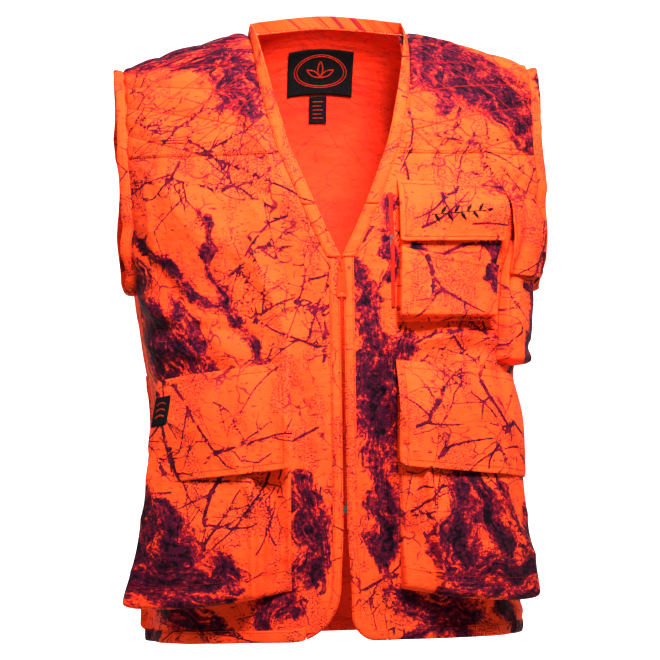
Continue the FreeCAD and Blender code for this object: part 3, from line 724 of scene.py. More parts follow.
def front_cloth(name):
    side, corner, marks = SIDES[name], CORNERS[name], FRONT_MARKS[name]
    across = np.linspace(0, 1, 88)[None, :]
    low_v = np.linspace(0, 1, 125)[:-1, None]
    up_t = packed(ARM_TURN, 34, 76)[:, None]

    def inner_x(q):
        return np.maximum(0.0065, neck_x(q) - 0.008)

    hem_x = torso_point(mix(phi_at(0.0065, 0.0), 90, across), 0.0)[..., 0]
    low_q = mix(hem_q(hem_x, corner, 0.001), ARM_LOW, low_v)
    low_in = phi_at(spread(inner_x(low_q), low_q), low_q)
    low_phi = mix(low_in, 90.0, across)
    edge, up_q = armhole(up_t)
    up_q = np.minimum(up_q, Q_RIDGE)
    up_phi = mix(phi_at(inner_x(up_q), up_q), edge, across)
    phi = np.concatenate([low_phi, up_phi])
    q = np.concatenate([low_q, np.broadcast_to(up_q, up_phi.shape)])
    cloth = Cloth(name + "_front")
    outer = lift(phi, q, 0.0, side)
    cloth.shell(outer, lift(phi, q, -CLOTH, side), st_of(phi, q, side), (0, 1), flip=side < 0)
    piece = cloth.build([OUTSIDE, INSIDE], marks)
    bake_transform(piece)
    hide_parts(name + "_front_panel", name + "_front_strip")
    return piece


def back_cloth():
    low_v = np.linspace(0, 1, 90)[:-1, None]
    up_t = packed(ARM_TURN, 24, 56)[:, None]
    across = np.linspace(0, 1, 150)[None, :]
    low_phi, low_q = np.broadcast_arrays(mix(90.0, 270.0, across), ARM_LOW * low_v)
    edge, top = armhole(up_t)
    up_phi = mix(180 - edge, 180 + edge, across)
    highest = np.minimum(Q_RIDGE, back_neck_q(torso_point(up_phi, Q_RIDGE)[..., 0]))
    up_q = ARM_LOW + (top - ARM_LOW) * (highest - ARM_LOW) / (Q_RIDGE - ARM_LOW)
    phi, q = np.concatenate([low_phi, up_phi]), np.concatenate([low_q, up_q])
    cloth = Cloth("back")
    outer = lift(phi, q, 0.0)
    cloth.shell(outer, lift(phi, q, -CLOTH), st_of(phi, q), (0, 1))
    bark = [
        (0.37, 0.510, 0.41, 0.38, 0.026, 0.020), (0.62, 0.500, 0.58, 0.34, 0.022, 0.034),
        (0.50, 0.42, 0.47, 0.26, 0.010, 0.024), (0.30, 0.42, 0.34, 0.05, 0.026, 0.030),
        (0.70, 0.34, 0.66, 0.04, 0.020, 0.030),
    ]
    marks = Marks(5, ((0.26, 0.0), (0.74, 0.80)), bark, twigs=44)
    piece = cloth.build([OUTSIDE, INSIDE], marks)
    placed(piece, "garment", "back_panel", slot="print_cloth")
    return piece


# ---- bands ----------------------------------------------------------------------------------


def band_profile(u, thick):
    """Height of a doubled band across its width: rounded edges and a dent at each stitch row."""
    pillow = 1 - np.abs(2 * u - 1) ** 6
    dents = np.exp(-(((u - 0.14) / 0.05) ** 2)) + np.exp(-(((u - 0.86) / 0.05) ** 2))
    return thick * (0.35 + 0.75 * pillow - 0.35 * dents)


def strip_piece(name, base, reach, out, width, thick, st, rows=(0.14, 0.86), flip=False):
    """A band along base points: reach and out are unit vectors, st its print coordinates."""
    u = np.linspace(0, 1, 13)[None, :, None]
    path = base[:, None, :] + reach[:, None, :] * (width * u)
    rise = out[:, None, :]
    cloth = Cloth(name)
    outer = path + rise * (GAP + band_profile(u, thick))
    inner = path + rise * (GAP * 0.5)
    coordinates = np.stack(np.broadcast_arrays(
        st[:, None, 0] + u[..., 0] * width, st[:, None, 1]), -1)
    cloth.shell(outer, inner, coordinates, (0, 0), flip)
    for share in rows:
        row = base + reach * (width * share) + out * (GAP + band_profile(np.array(share), thick))
        cloth.stitches(row, out)
    return cloth


def add_row(cloth, phi, q, off, side=1):
    """A stitched row on the worn surface."""
    cloth.stitches(lift(phi, q, off, side), frame_at(phi, q)[2] * np.array([side, 1, 1]))


def neck_bands():
    for name, side in SIDES.items():
        q = np.linspace(0.4875, Q_RIDGE - 0.0003, 110)
        cloth = neck_cloth(name + "_neck", q, side)
        marks = Marks(11 + side, ((-0.1, 0.60), (0.12, 0.98)), twigs=22)
        placed(cloth.build([OUTSIDE, THREAD], marks), "garment", name + "_neck_band", slot="band_cloth")


def neck_cloth(name, q, side):
    slope = (neck_x(q + 0.001) - neck_x(q - 0.001)) / 0.002
    phi = phi_at(neck_x(q), q)
    round_it, _, out = frame_at(phi, q)
    lean = np.radians(58 * ease((q - 0.560) / 0.200))[:, None]
    width = BAND * np.hypot(1, slope)[:, None]
    reach = out * np.sin(lean) - round_it * np.cos(lean)
    rise = out * np.cos(lean) + round_it * np.sin(lean)
    flip = np.array([side, 1, 1])
    base = lift(phi, q, 0.0, side)
    return strip_piece(name, base, reach * width / BAND * flip, rise * flip, BAND, 0.0016,
                       st_of(phi, q, side, (0.02 * side, 0.13)), flip=side > 0)


def back_neck_band():
    t = np.linspace(0, 1, 140)
    x = -(NECK_SEAM[-1][1] - 0.001) * np.cos(np.pi * t)
    q = back_neck_q(x)
    phi = 180 - phi_at(x, q)
    base = lift(phi, q, 0.0)
    out = frame_at(phi, q)[2]
    along = unit(np.gradient(base, axis=0))
    across = unit(np.cross(out, along))
    across = across * np.sign(across[len(t) // 2, 2])
    lean = math.radians(58)
    reach = across * math.cos(lean) + out * math.sin(lean)
    rise = out * math.cos(lean) - across * math.sin(lean)
    st = np.stack([x + 0.3, np.full(len(x), 0.9)], -1)
    cloth = strip_piece("neck_back", base, reach, rise, BAND, 0.0016, st, flip=True)
    marks = Marks(17, ((0.1, 0.85), (0.5, 0.95)), twigs=5)
    placed(cloth.build([OUTSIDE, THREAD], marks), "garment", "back_neck_band", slot="band_cloth")


def placket_edge(v, corner, inset):
    """(x, q) down a front edge and round its corner to the fold line."""
    turn = 0.72
    share = np.clip((v - turn) / (1 - turn), 0, 1)
    run = EDGE_X + corner - (FOLD_X - GAP)
    radius = corner - inset
    if run > 0:
        angle, ahead = np.arccos(run / radius) * share, 0.0
    else:
        angle = math.pi / 2 * np.minimum(1.0, share / 0.75)
        ahead = np.maximum(0.0, share / 0.75 - 1) / (1 / 0.75 - 1) * -run
    x = np.where(v < turn, EDGE_X + inset, EDGE_X + corner - radius * np.cos(angle) + ahead)
    q = np.where(v < turn, mix(ZIP_TOP + 0.003, corner, v / turn), corner - radius * np.sin(angle))
    return x, q


def plackets():
    for name, corner in CORNERS.items():
        side = SIDES[name]
        v, u = np.linspace(0, 1, 240)[:, None], np.linspace(0, 1, 11)[None, :]
        x, q = placket_edge(v, corner, (BAND - EDGE_X) * u)
        phi = phi_at(spread(x, q), q)
        height = 0.0003 + band_profile(u, 0.0015)
        cloth = Cloth(name + "_placket")
        st = st_of(phi, q, side, (0.05 * side, 0.07))
        cloth.shell(lift(phi, q, height, side), lift(phi, q, 0.0002, side), st, flip=side < 0)
        for share in (0.14, 0.84):
            x, q = placket_edge(v[:, 0], corner, (BAND - EDGE_X) * share)
            add_row(cloth, phi_at(spread(x, q), q), q, 0.0016, side)
        cloth.join(neck_cloth("top", np.linspace(ZIP_TOP + 0.004, 0.4865, 26), side))
        marks = Marks(21 + side, ((-0.1, 0.0), (0.1, 0.6)), twigs=9)
        piece = cloth.build([OUTSIDE, THREAD], marks)
        placed(piece, name + "_front_edge", name + "_placket_band", slot="band_cloth")


def hem_bands():
    for name, corner in CORNERS.items():
        side = SIDES[name]
        u, v = np.linspace(0, 1, 90)[None, :], np.linspace(0, 1, 9)[:, None]
        phi = mix(phi_at(FOLD_X + GAP, 0.0), 90.0, u)
        x = torso_point(phi, 0.0)[..., 0]
        q = mix(hem_q(x, corner), hem_q(x, corner, HEM), v)
        cloth = Cloth(name + "_hem")
        phi = np.broadcast_to(phi, q.shape)
        st = st_of(phi, q, side, (0.11, 0.2))
        cloth.shell(lift(phi, q, GAP + band_profile(v, 0.0012), side), lift(phi, q, GAP, side), st,
                    flip=side < 0)
        add_row(cloth, phi[0], mix(q[0], q[-1], 0.84), 0.0014, side)
        bark = [(0.17, 0.207, 0.25, 0.205, 0.007, 0.010), (0.32, 0.207, 0.38, 0.207, 0.006, 0.008),
                (-0.17, 0.206, -0.11, 0.205, 0.008, 0.008)]
        marks = Marks(31 + side, ((-0.25, 0.19), (0.45, 0.225)), bark, twigs=26)
        placed(cloth.build([OUTSIDE, THREAD], marks), "garment", name + "_hem_band", slot="band_cloth")
    u, v = np.linspace(0, 1, 160)[None, :], np.linspace(0, 1, 9)[:, None]
    phi, q = np.broadcast_arrays(mix(90.0, 270.0, u), HEM * v)
    cloth = Cloth("back_hem")
    cloth.shell(lift(phi, q, GAP + band_profile(v, 0.0012)), lift(phi, q, GAP), st_of(phi, q))
    add_row(cloth, phi[0], np.full(phi.shape[1], HEM * 0.84), 0.0014)
    inside = lift(phi[0], np.full(phi.shape[1], HEM), -CLOTH - 0.0003)
    cloth.stitches(inside, -frame_at(phi[0], q[0])[2])
    marks = Marks(37, ((-0.7, 0.0), (0.7, 0.02)), twigs=14)
    placed(cloth.build([OUTSIDE, THREAD], marks), "garment", "back_hem_band", slot="band_cloth")


def armhole_bindings():
    for name, side in SIDES.items():
        cloth = Cloth(name + "_binding")
        for behind in (False, True):
            t = packed(ARM_TURN, 60, 90)
            edge, q = armhole(t)
            phi = 180 - edge + 1.7 if behind else edge - 0.8
            q = np.minimum(q, Q_RIDGE - 0.0002)
            base = lift(phi, q, 0.0004, side)
            out = frame_at(phi, q)[2] * np.array([side, 1, 1])
            along = unit(np.gradient(base, axis=0))
            across = unit(np.cross(out, along)) * (1 if behind else -1) * side
            lean = np.radians(32 + 38 * np.maximum(0, 1 - t / ARM_TURN))[:, None]
            reach = across * np.cos(lean) + out * np.sin(lean)
            rise = out * np.cos(lean) - across * np.sin(lean)
            st = st_of(phi, q, side, (0.2, 0.31))
            cloth.join(strip_piece("half", base, reach, rise, 0.013, 0.0022, st, (0.12,),
                                   flip=(side > 0) == behind))
        wide = 0.02 if side < 0 else 0.004
        bark = [
            (0.45 * side, 0.95, 0.47 * side, 0.70, wide, wide),
            (0.46 * side, 0.90, 0.44 * side, 1.1, wide, wide),
        ]
        marks = Marks(41 + side, ((-0.6, 0.6), (0.6, 1.2)), bark, twigs=30)
        piece = cloth.build([OUTSIDE, THREAD], marks)
        placed(piece, "garment", name + "_armhole_binding", slot="binding_cloth")


# ---- quilted shoulders -------------------------------------------------------------------------


def q_at_height(phi, height):
    low, high = np.zeros(np.shape(phi)), np.full(np.shape(phi), Q_RIDGE)
    for _ in range(30):
        mid = (low + high) / 2
        under = torso_point(phi, mid)[..., 2] + NECK_HEIGHT < height
        low, high = np.where(under, mid, low), np.where(under, high, mid)
    return low


def shoulder_quilts():
    for name, side in SIDES.items():
        v, u = np.linspace(0, 1, 150)[:, None], np.linspace(0, 1, 72)[None, :]
        behind = v > 0.5
        rise = 1 - np.abs(2 * v - 1)
        rough = mix(phi_at(0.080, 0.560), ARM_PHI, u)
        foot = np.where(behind, q_at_height(rough, 0.560), q_at_height(rough, 0.545))
        q = mix(foot, Q_RIDGE, rise)
        share = (q - ARM_MID) / (Q_RIDGE - ARM_MID)
        phi = mix(phi_at(neck_x(q) + 0.0020, q), ARM_PHI + 2 * share - 0.8, u)
        s = cloth_x(phi)
        t = np.where(behind, 2 * Q_RIDGE - q, q)
        a = (s * 0.90 + t * 1.05) / 0.056
        b = (s * 0.60 - t * 1.05) / 0.056
        pad = np.abs(np.sin(np.pi * a)) ** 0.55 * np.abs(np.sin(np.pi * b)) ** 0.55
        edge = np.minimum(np.minimum(u, 1 - u) * 12, np.minimum(v, 1 - v) * 30).clip(0, 1)
        foot_edge = ease(rise * 9)
        crown = 0.0042 * pad + 0.0030 * ease(rise * 1.3 - 0.3)
        height = GAP + 0.0003 + foot_edge * (0.0007 + crown * edge**0.5)
        both = np.where(behind, 180 - phi, phi)
        outer = torso_point(both, q) + frame_at(both, q)[2] * (height + relief(both * side, q))[..., None]
        inner = torso_point(both, q) + frame_at(both, q)[2] * (GAP + relief(both * side, q))[..., None]
        turn = np.array([side, 1, 1])
        cloth = Cloth(name + "_quilt")
        cloth.shell(outer * turn, inner * turn, np.stack([s * side, t], -1), flip=side < 0)
        lines = np.tile(np.stack([a, b, a * 0], -1).reshape(-1, 3), (2, 1))
        marks = FRONT_MARKS[name]
        for w in (0.012, 0.988):
            row = int(w * 149)
            cloth.stitches(outer[row] * turn, frame_at(both, q)[2][row] * turn)
        piece = cloth.build([QUILTED, THREAD], marks)
        lines = np.concatenate([lines, np.zeros((cloth.count - len(lines), 3))])
        quilt = piece.data.attributes.new("quilt", "FLOAT_VECTOR", "POINT")
        quilt.data.foreach_set("vector", lines.astype(np.float32).reshape(-1))
        placed(piece, "garment", name + "_shoulder_quilt", slot="quilted_cloth")


# ---- pockets --------------------------------------------------------------------------------


def dense(count, edge, share=0.3):
    """Parameters from 0 to 1 with a share of them packed within edge of each end."""
    ends = int(count * share / 2)
    return np.unique(np.concatenate([
        np.linspace(0, edge, ends),
        np.linspace(edge, 1 - edge, count - 2 * ends),
        np.linspace(1 - edge, 1, ends),
    ]))


def rising(u, edge):
    """0 at the edge, 1 beyond it, steep first and round at the shoulder."""
    return (1 - (1 - np.clip(u / edge, 0, 1)) ** 3) ** 0.7


def wrinkles(u, v, seed, size):
    """Slack, slanting creases in a loose panel."""
    slant = lattice(u * 3.2 + v * 1.7, v * 2.4 - u * 1.1, seed)
    crease = 1 - np.abs(lattice(u * 5.5 + v * 3.0, v * 3.5 - u * 2.0, seed + 1))
    return size * (0.7 * slant + 0.6 * (crease**3 - 0.4))


def loose(u, v, seed, size, edge, along=1.0):
    """Wrinkles that die away at both sides of a panel."""
    return wrinkles(u * along, v, seed, size) * rising(u, edge) * rising(1 - u, edge)


class Patch:
    """A place on the body, from its inner to its outer phi and between two q."""

    def __init__(self, inner, outer, outer_top, q, drop=0.0):
        self.inner, self.outer, self.outer_top, self.q, self.drop = inner, outer, outer_top, q, drop

    def place(self, u, v, top=None):
        phi = mix(self.inner, mix(self.outer, self.outer_top, v), u)
        high = self.q[1] if top is None else top
        return phi, mix(self.q[0], high, v) - self.drop * u


LOWER = Patch(float(phi_at(0.060, 0.2)), 63.0, 63.0, (0.058, 0.275), 0.014)
LOWER_FLAP = Patch(LOWER.inner - 0.5, 64.0, 64.0, (0.197, 0.314), 0.020)
CHEST_IN, CHEST_OUT = float(phi_at(0.065, 0.43)), float(phi_at(0.180, 0.43))
CHEST = Patch(CHEST_IN, CHEST_OUT, CHEST_OUT, (0.356, 0.498))
CHEST_FLAP = Patch(CHEST_IN - 0.4, CHEST_OUT + 0.2, CHEST_OUT + 0.2, (0.447, 0.515))
POUCH = Patch(CHEST_IN, CHEST_OUT, CHEST_OUT, (0.361, 0.430))
SIDE = Patch(float(phi_at(0.189, 0.4)), 78.0, 63.0, (0.312, 0.446), 0.003)
SIDE_FLAP = Patch(float(phi_at(0.187, 0.44)), 70.0, 60.5, (0.410, 0.508), 0.002)


def bag_piece(name, phi, q, height, side, marks, shift=(0.0, 0.0), rows=(), nodes=()):
    """A pocket as one skin: height is its outer level over the worn cloth."""
    cloth = Cloth(name)
    outer = lift(phi, q, height, side)
    inner = lift(phi, q, np.maximum(height - CLOTH, GAP * 0.5), side)
    cloth.shell(outer, inner, st_of(phi, q, side, shift), (0, 1), flip=side < 0)
    normal = unit(np.cross(np.gradient(outer, axis=1), np.gradient(outer, axis=0))) * side
    for row in rows:
        index = (row, slice(6, -6))
        cloth.stitches(outer[index] + normal[index] * 0.0001, normal[index], 2)
    piece = cloth.build([OUTSIDE, INSIDE, THREAD], marks)
    placed(piece, "garment", *nodes, slot="print_cloth")
    return piece


def lower_pockets():
    for name, side in SIDES.items():
        u, v = dense(110, 0.035)[None, :], packed(0.07, 14, 80)[:, None]
        flare = 0.038 if side < 0 else 0.012
        reach = mix(0.038, 0.009, v) * (1 - 0.28 * u**3) + flare * u**3 * (1 - v) ** 0.7
        split = 0.235 - 0.05 * (1 - v) if side < 0 else 0.20 - 0.10 * v
        bellows = 0.42 if side < 0 else 0.58
        pleat = mix(bellows * (0.75 + 0.35 * u / split), 1.0, ease((u - split) / 0.018))
        crest = 0.0050 * np.exp(-(((u - split - 0.03) / 0.02) ** 2)) * (1 - v) ** 0.3
        rumple = 0.0052 * lattice(u * 13 + v * 1.5, v * 4.5, 60 + side) * ease((split - u) / 0.05)
        belly = 0.90 + 0.16 * np.sin(np.pi * np.clip((u - split) / (1 - split), 0, 1)) * (1 - v**2)
        height = reach * pleat * belly * rising(u, 0.03) * rising(1 - u, 0.04)
        ear = (0.009 if side < 0 else 0.004) * np.exp(-(((u - 0.94) / 0.07) ** 2) - ((v - 0.07) / 0.10) ** 2)
        height = height * rising(v, 0.055) + ear * rising(v, 0.03) * rising(1 - u, 0.03)
        height = height + crest + rumple * rising(v, 0.05)
        height = height + loose(u, v, 70 + side, 0.0046, 0.05) * (1 - 0.5 * v) * rising(v, 0.1)
        height = np.maximum(height, GAP + CLOTH)
        phi, q = LOWER.place(u, v)
        sag = 0.009 * (1 - v) ** 5 * np.sin(np.pi * u) ** 0.6 + 0.006 * (1 - v) ** 5 * u
        q = q - sag * (0.3 + 0.7 * rising(v, 0.04))
        if side < 0:
            area = ((-0.29, 0.04), (-0.06, 0.28))
            bark = [
                (-0.215, 0.190, -0.212, 0.085, 0.010, 0.022), (-0.225, 0.088, -0.140, 0.074, 0.026, 0.020),
                (-0.195, 0.160, -0.160, 0.085, 0.007, 0.016), (-0.140, 0.100, -0.115, 0.060, 0.012, 0.012),
                (-0.220, 0.060, -0.120, 0.048, 0.012, 0.010),
            ]
            limbs = [(-0.125, 0.200, 250, 0.12, 0.0022), (-0.085, 0.190, 255, 0.11, 0.0016),
                     (-0.155, 0.090, 70, 0.09, 0.0018), (-0.20, 0.20, -60, 0.1, 0.0016)]
        else:
            area = ((0.06, 0.04), (0.29, 0.28))
            bark = [(0.134, 0.198, 0.112, 0.078, 0.009, 0.020), (0.138, 0.185, 0.178, 0.095, 0.008, 0.018),
                    (0.105, 0.082, 0.220, 0.078, 0.018, 0.020), (0.165, 0.190, 0.206, 0.110, 0.004, 0.008),
                    (0.100, 0.058, 0.218, 0.050, 0.010, 0.010), (0.216, 0.180, 0.214, 0.080, 0.004, 0.006)]
            limbs = [(0.062, 0.140, 25, 0.10, 0.0016), (0.080, 0.170, 15, 0.08, 0.0012),
                     (0.085, 0.120, -60, 0.08, 0.0016), (0.19, 0.09, 120, 0.09, 0.0016)]
        marks = Marks(81 + side, area, bark, limbs, twigs=16)
        bag_piece(name + "_lower_pocket", phi, q, height, side, marks, rows=(17,),
                  nodes=(name + "_lower_pocket_face", name + "_lower_pocket_gusset"))


def chest_pockets():
    u, v = dense(80, 0.05)[None, :], packed(0.06, 9, 60)[:, None]
    phi, q = CHEST.place(u, v)
    height = mix(0.012, 0.008, v) * rising(u, 0.03) * rising(1 - u, 0.03) * rising(v, 0.035)
    height = np.maximum(height + loose(u, v, 91, 0.0008, 0.06), GAP + CLOTH)
    bark = [(0.085, 0.440, 0.075, 0.415, 0.008, 0.006), (0.165, 0.440, 0.186, 0.380, 0.010, 0.008)]
    limbs = [(0.080, 0.432, 10, 0.09, 0.0026), (0.150, 0.445, -60, 0.08, 0.0018)]
    marks = Marks(92, ((0.06, 0.35), (0.2, 0.5)), bark, limbs, twigs=6)
    bag_piece("chest_pocket", phi, q, height, 1, marks,
              nodes=("chest_pocket_face", "chest_pocket_gusset"))
    v = packed(0.10, 9, 44)[:, None]
    top = 0.440 - 0.020 * u**1.3 - 0.004 * np.sin(np.pi * u)
    phi, q = POUCH.place(u, v, top)
    standing = mix(0.0245, 0.0155, v) + 0.0035 * v**3 * np.sin(np.pi * u)
    height = 0.0118 + (standing - 0.0118) * rising(u, 0.035) * rising(1 - u, 0.035) * rising(v, 0.09)
    height = height + loose(u, v, 95, 0.0010, 0.08) * rising(v, 0.2)
    square = np.exp(-((np.maximum(np.abs(u - 0.49), np.abs(v - 0.36) * 0.62) - 0.095) / 0.008) ** 2)
    height = height - 0.0004 * square
    bark = [(0.150, 0.425, 0.185, 0.375, 0.006, 0.009), (0.160, 0.430, 0.175, 0.410, 0.007, 0.006)]
    limbs = [
        (0.085, 0.430, -62, 0.05, 0.0028), (0.104, 0.392, -30, 0.05, 0.0018),
        (0.104, 0.392, 215, 0.05, 0.0018),
    ]
    marks = Marks(96, ((0.06, 0.35), (0.2, 0.44)), bark, limbs, twigs=2)
    bag_piece("chest_pouch", phi, q, height, 1, marks, rows=(len(v) - 4,),
              nodes=("chest_pouch_face", "chest_pouch_gusset"))


def side_pocket():
    u, v = dense(50, 0.07)[None, :], np.linspace(0, 1, 60)[:, None]
    phi, q = SIDE.place(u, v)
    height = mix(0.018, 0.009, v) * rising(u, 0.07) * rising(1 - u, 0.10) * rising(v, 0.06)
    height = np.maximum(height + loose(u, v, 101, 0.0016, 0.1), GAP + CLOTH)
    q = q - 0.006 * (1 - v) ** 4 * np.sin(np.pi * u)
    bark = [(0.215, 0.400, 0.245, 0.350, 0.006, 0.014), (0.225, 0.345, 0.250, 0.318, 0.018, 0.016)]
    marks = Marks(102, ((0.19, 0.3), (0.3, 0.45)), bark, [(0.22, 0.40, -50, 0.08, 0.0028)], twigs=5)
    bag_piece("side_pocket", phi, q, height, 1, marks,
              nodes=("side_pocket_face", "side_pocket_gusset"))


def game_bag():
    u, v = dense(130, 0.02, 0.2)[None, :], packed(0.05, 9, 80)[:, None]
    phi = mix(106.0, 254.0, u)
    q = mix(0.018, 0.300, v) + 0 * u
    side = 1 - 0.7 * (1 - u) ** 3 - 0.5 * u**3
    q = q - 0.010 * (1 - v) ** 3 * ease((u - 0.8) / 0.2)
    height = mix(0.030, 0.009, v) * side * rising(u, 0.015) * rising(1 - u, 0.015) * rising(v, 0.035)
    height = height + loose(u, v, 105, 0.0022, 0.05, 2.5) * rising(v, 0.1)
    height = np.maximum(height, GAP + CLOTH)
    bark = [
        (0.66, 0.62, 0.58, 0.42, 0.018, 0.036), (0.38, 0.64, 0.44, 0.43, 0.030, 0.016),
        (0.50, 0.56, 0.53, 0.46, 0.010, 0.016),
    ]
    marks = Marks(106, ((0.30, 0.40), (0.72, 0.72)), bark, twigs=30)
    bag_piece("game_bag", phi, q, height, 1, marks, (0.02, 0.4), rows=(len(v) - 4,),
              nodes=("game_bag_face", "game_bag_gusset"))


# ---- flaps ----------------------------------------------------------------------------------


def corner_pull(u, v, radius_u, radius_v):
    """Moves (u, v) so that the sheet's lower corners are rounded."""
    low = np.clip(1 - v / radius_v, 0, 1)
    pull = radius_u * (1 - np.sqrt(np.maximum(1 - low**2, 0)))
    return mix(pull, 1 - pull, u)


def flap_piece(name, node, patch, rest, side, marks, bow=0.0, wrap=1.0, lean=0.0, badge=None,
               badge_node=None):
    """A flap sewn on along its top edge; badge makes what is sewn on it."""
    rows, columns = 64, 80
    v, u = np.linspace(0, 1, rows)[:, None], np.linspace(0, 1, columns)[None, :]
    uu = corner_pull(u, v, 0.035, 0.07) + lean * (1 - v) * (1 - u)
    fall = np.sin(np.minimum(1.0, (1 - v) * 1.7) * math.pi / 2)
    level = GAP + 0.0006 + (rest - GAP) * fall * mix(1, wrap, u**3)
    level = level + wrinkles(u, v, 110 + side, 0.0010) * (1 - v) + bow * np.sin(np.pi * u) * (1 - v) ** 2
    seam = 0.0011 * np.exp(-(((v - 0.93) / 0.015) ** 2))
    edge = np.minimum(np.minimum(u, 1 - u) * columns / 12, v * rows / 8).clip(0, 1)
    level = level + 0.0004 * (1 - edge) - seam * 0.5
    phi, q = patch.place(uu, v)
    cloth = Cloth(name)
    outer = lift(phi, q, level + 0.0014, side)
    cloth.shell(outer, lift(phi, q, level, side), st_of(phi, q, side), (0, 1), flip=side < 0)
    normal = unit(np.cross(np.gradient(outer, axis=1), np.gradient(outer, axis=0))) * side
    border = 4
    for index in ((slice(border, -3), border), (slice(border, -3), columns - 1 - border),
                  (border, slice(border, -border)), (rows - 5, slice(2, -2))):
        cloth.stitches(outer[index] + normal[index] * 0.0001, normal[index], 2)
    piece = cloth.build([OUTSIDE, INSIDE, THREAD], marks)
    top = Vector(lift(*patch.place(0.5, 1.0), 0.0, side))
    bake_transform(piece)
    if badge:
        sewn = Cloth(name + "_badge")
        badge(sewn, outer, normal)
        sewn = sewn.build([BLACK_WEAVE, MOTIF, DARK_THREAD])
        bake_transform(sewn)
        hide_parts(badge_node)
    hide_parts(node)


def sample(grid, u, v):
    """Points of a grid at shares u across and v up it."""
    rows, columns = grid.shape[:2]
    a, b = np.clip(u, 0, 1) * (columns - 1), np.clip(v, 0, 1) * (rows - 1)
    i, j = np.minimum(a.astype(int), columns - 2), np.minimum(b.astype(int), rows - 2)
    fa, fb = (a - i)[..., None], (b - j)[..., None]
    return mix(mix(grid[j, i], grid[j, i + 1], fa), mix(grid[j + 1, i], grid[j + 1, i + 1], fa), fb)


def sew(cloth, outer, normal, us, vs, width, height, slot, off=0.0):
    """A thread off a grid, through the places at shares us across and vs up it."""
    out = sample(normal, us, vs)
    cloth.thread(sample(outer, us, vs) + out * off, unit(out), width, height, slot)


def sprig(cloth, outer, normal):
    """A small embroidered sprig of leaves, in place of any lettering."""
    t = np.linspace(0, 1, 24)
    sew(cloth, outer, normal, 0.27 + 0.50 * t, 0.42 + 0.09 * t, 0.0011, 0.0008, 2)
    leaf = np.linspace(0, 1, 14)
    lens = (0.0003 + 0.0036 * np.sin(np.pi * leaf**0.8))[:, None]
    for k in range(8):
        way = 1 if k % 2 else -1
        us, vs = 0.30 + 0.055 * k + 0.050 * leaf, 0.43 + 0.010 * k + way * 0.14 * leaf
        sew(cloth, outer, normal, us, vs, lens, 0.0008, 2)
    sew(cloth, outer, normal, 0.77 + 0.055 * leaf, 0.51 + 0.03 * leaf, lens, 0.0008, 2)


def side_tag(cloth, outer, normal):
    """The black tag near the flap's outer end, with three curved bars."""
    u, v = np.linspace(0.795, 0.985, 14)[None, :], np.linspace(0.56, 0.84, 14)[:, None]
    u, v = np.broadcast_arrays(u, v)
    points, up = sample(outer, u, v), unit(sample(normal, u, v))
    cloth.shell(points + up * 0.0007, points + up * 0.0002, (0.0, 0.0), (0, 0), flip=True)
    for k in range(3):
        t = np.linspace(0, 1, 12)
        us, vs = 0.835 + 0.11 * t, 0.64 + 0.06 * k + 0.02 * np.sin(t * math.pi)
        sew(cloth, outer, normal, us, vs, 0.0022 - 0.0004 * k, 0.0006, 1, off=0.0007)


def flaps():
    bark = [(0.262, 0.300, 0.285, 0.190, 0.008, 0.014)]
    limbs = [
        (0.155, 0.290, -52, 0.075, 0.0024), (0.190, 0.242, 215, 0.06, 0.0022),
        (0.190, 0.242, -35, 0.045, 0.0018), (0.078, 0.240, 18, 0.085, 0.0020),
        (0.10, 0.205, 20, 0.08, 0.0016),
    ]
    marks = Marks(121, ((0.06, 0.17), (0.29, 0.32)), bark, limbs, twigs=4)
    flap_piece("left_lower_flap", "left_lower_pocket_flap", LOWER_FLAP, 0.0225, 1, marks, 0.002, 0.76)
    bark = [(-0.25, 0.20, -0.20, 0.185, 0.008, 0.010)]
    limbs = [
        (-0.235, 0.290, -48, 0.13, 0.0032), (-0.225, 0.300, -30, 0.15, 0.0020),
        (-0.150, 0.205, 35, 0.10, 0.0022), (-0.255, 0.290, -95, 0.10, 0.0018),
        (-0.190, 0.220, -80, 0.05, 0.0026),
    ]
    marks = Marks(123, ((-0.29, 0.17), (-0.06, 0.32)), bark, limbs, twigs=7)
    flap_piece("right_lower_flap", "right_lower_pocket_flap", LOWER_FLAP, 0.0225, -1, marks, 0.002, 0.76,
               badge=side_tag, badge_node="right_flap_label")
    bark = [(0.135, 0.524, 0.185, 0.508, 0.007, 0.007), (0.176, 0.500, 0.182, 0.455, 0.004, 0.008)]
    limbs = [
        (0.118, 0.510, 250, 0.06, 0.0018), (0.080, 0.462, 20, 0.06, 0.0016),
        (0.100, 0.500, -80, 0.03, 0.0014),
    ]
    marks = Marks(125, ((0.06, 0.44), (0.19, 0.52)), bark, limbs, twigs=1)
    flap_piece("chest_flap", "chest_pocket_flap", CHEST_FLAP, 0.0136, 1, marks, 0.001, badge=sprig,
               badge_node="chest_flap_emblem")
    bark = [(0.22, 0.44, 0.26, 0.415, 0.006, 0.012)]
    limbs = [(0.21, 0.50, -50, 0.10, 0.0026), (0.26, 0.49, -110, 0.07, 0.0022)]
    marks = Marks(127, ((0.18, 0.4), (0.3, 0.52)), bark, limbs, twigs=4)
    flap_piece("side_flap", "side_pocket_flap", SIDE_FLAP, 0.013, 1, marks, 0.003, lean=0.16)


# ---- labels and zip ----------------------------------------------------------------------------


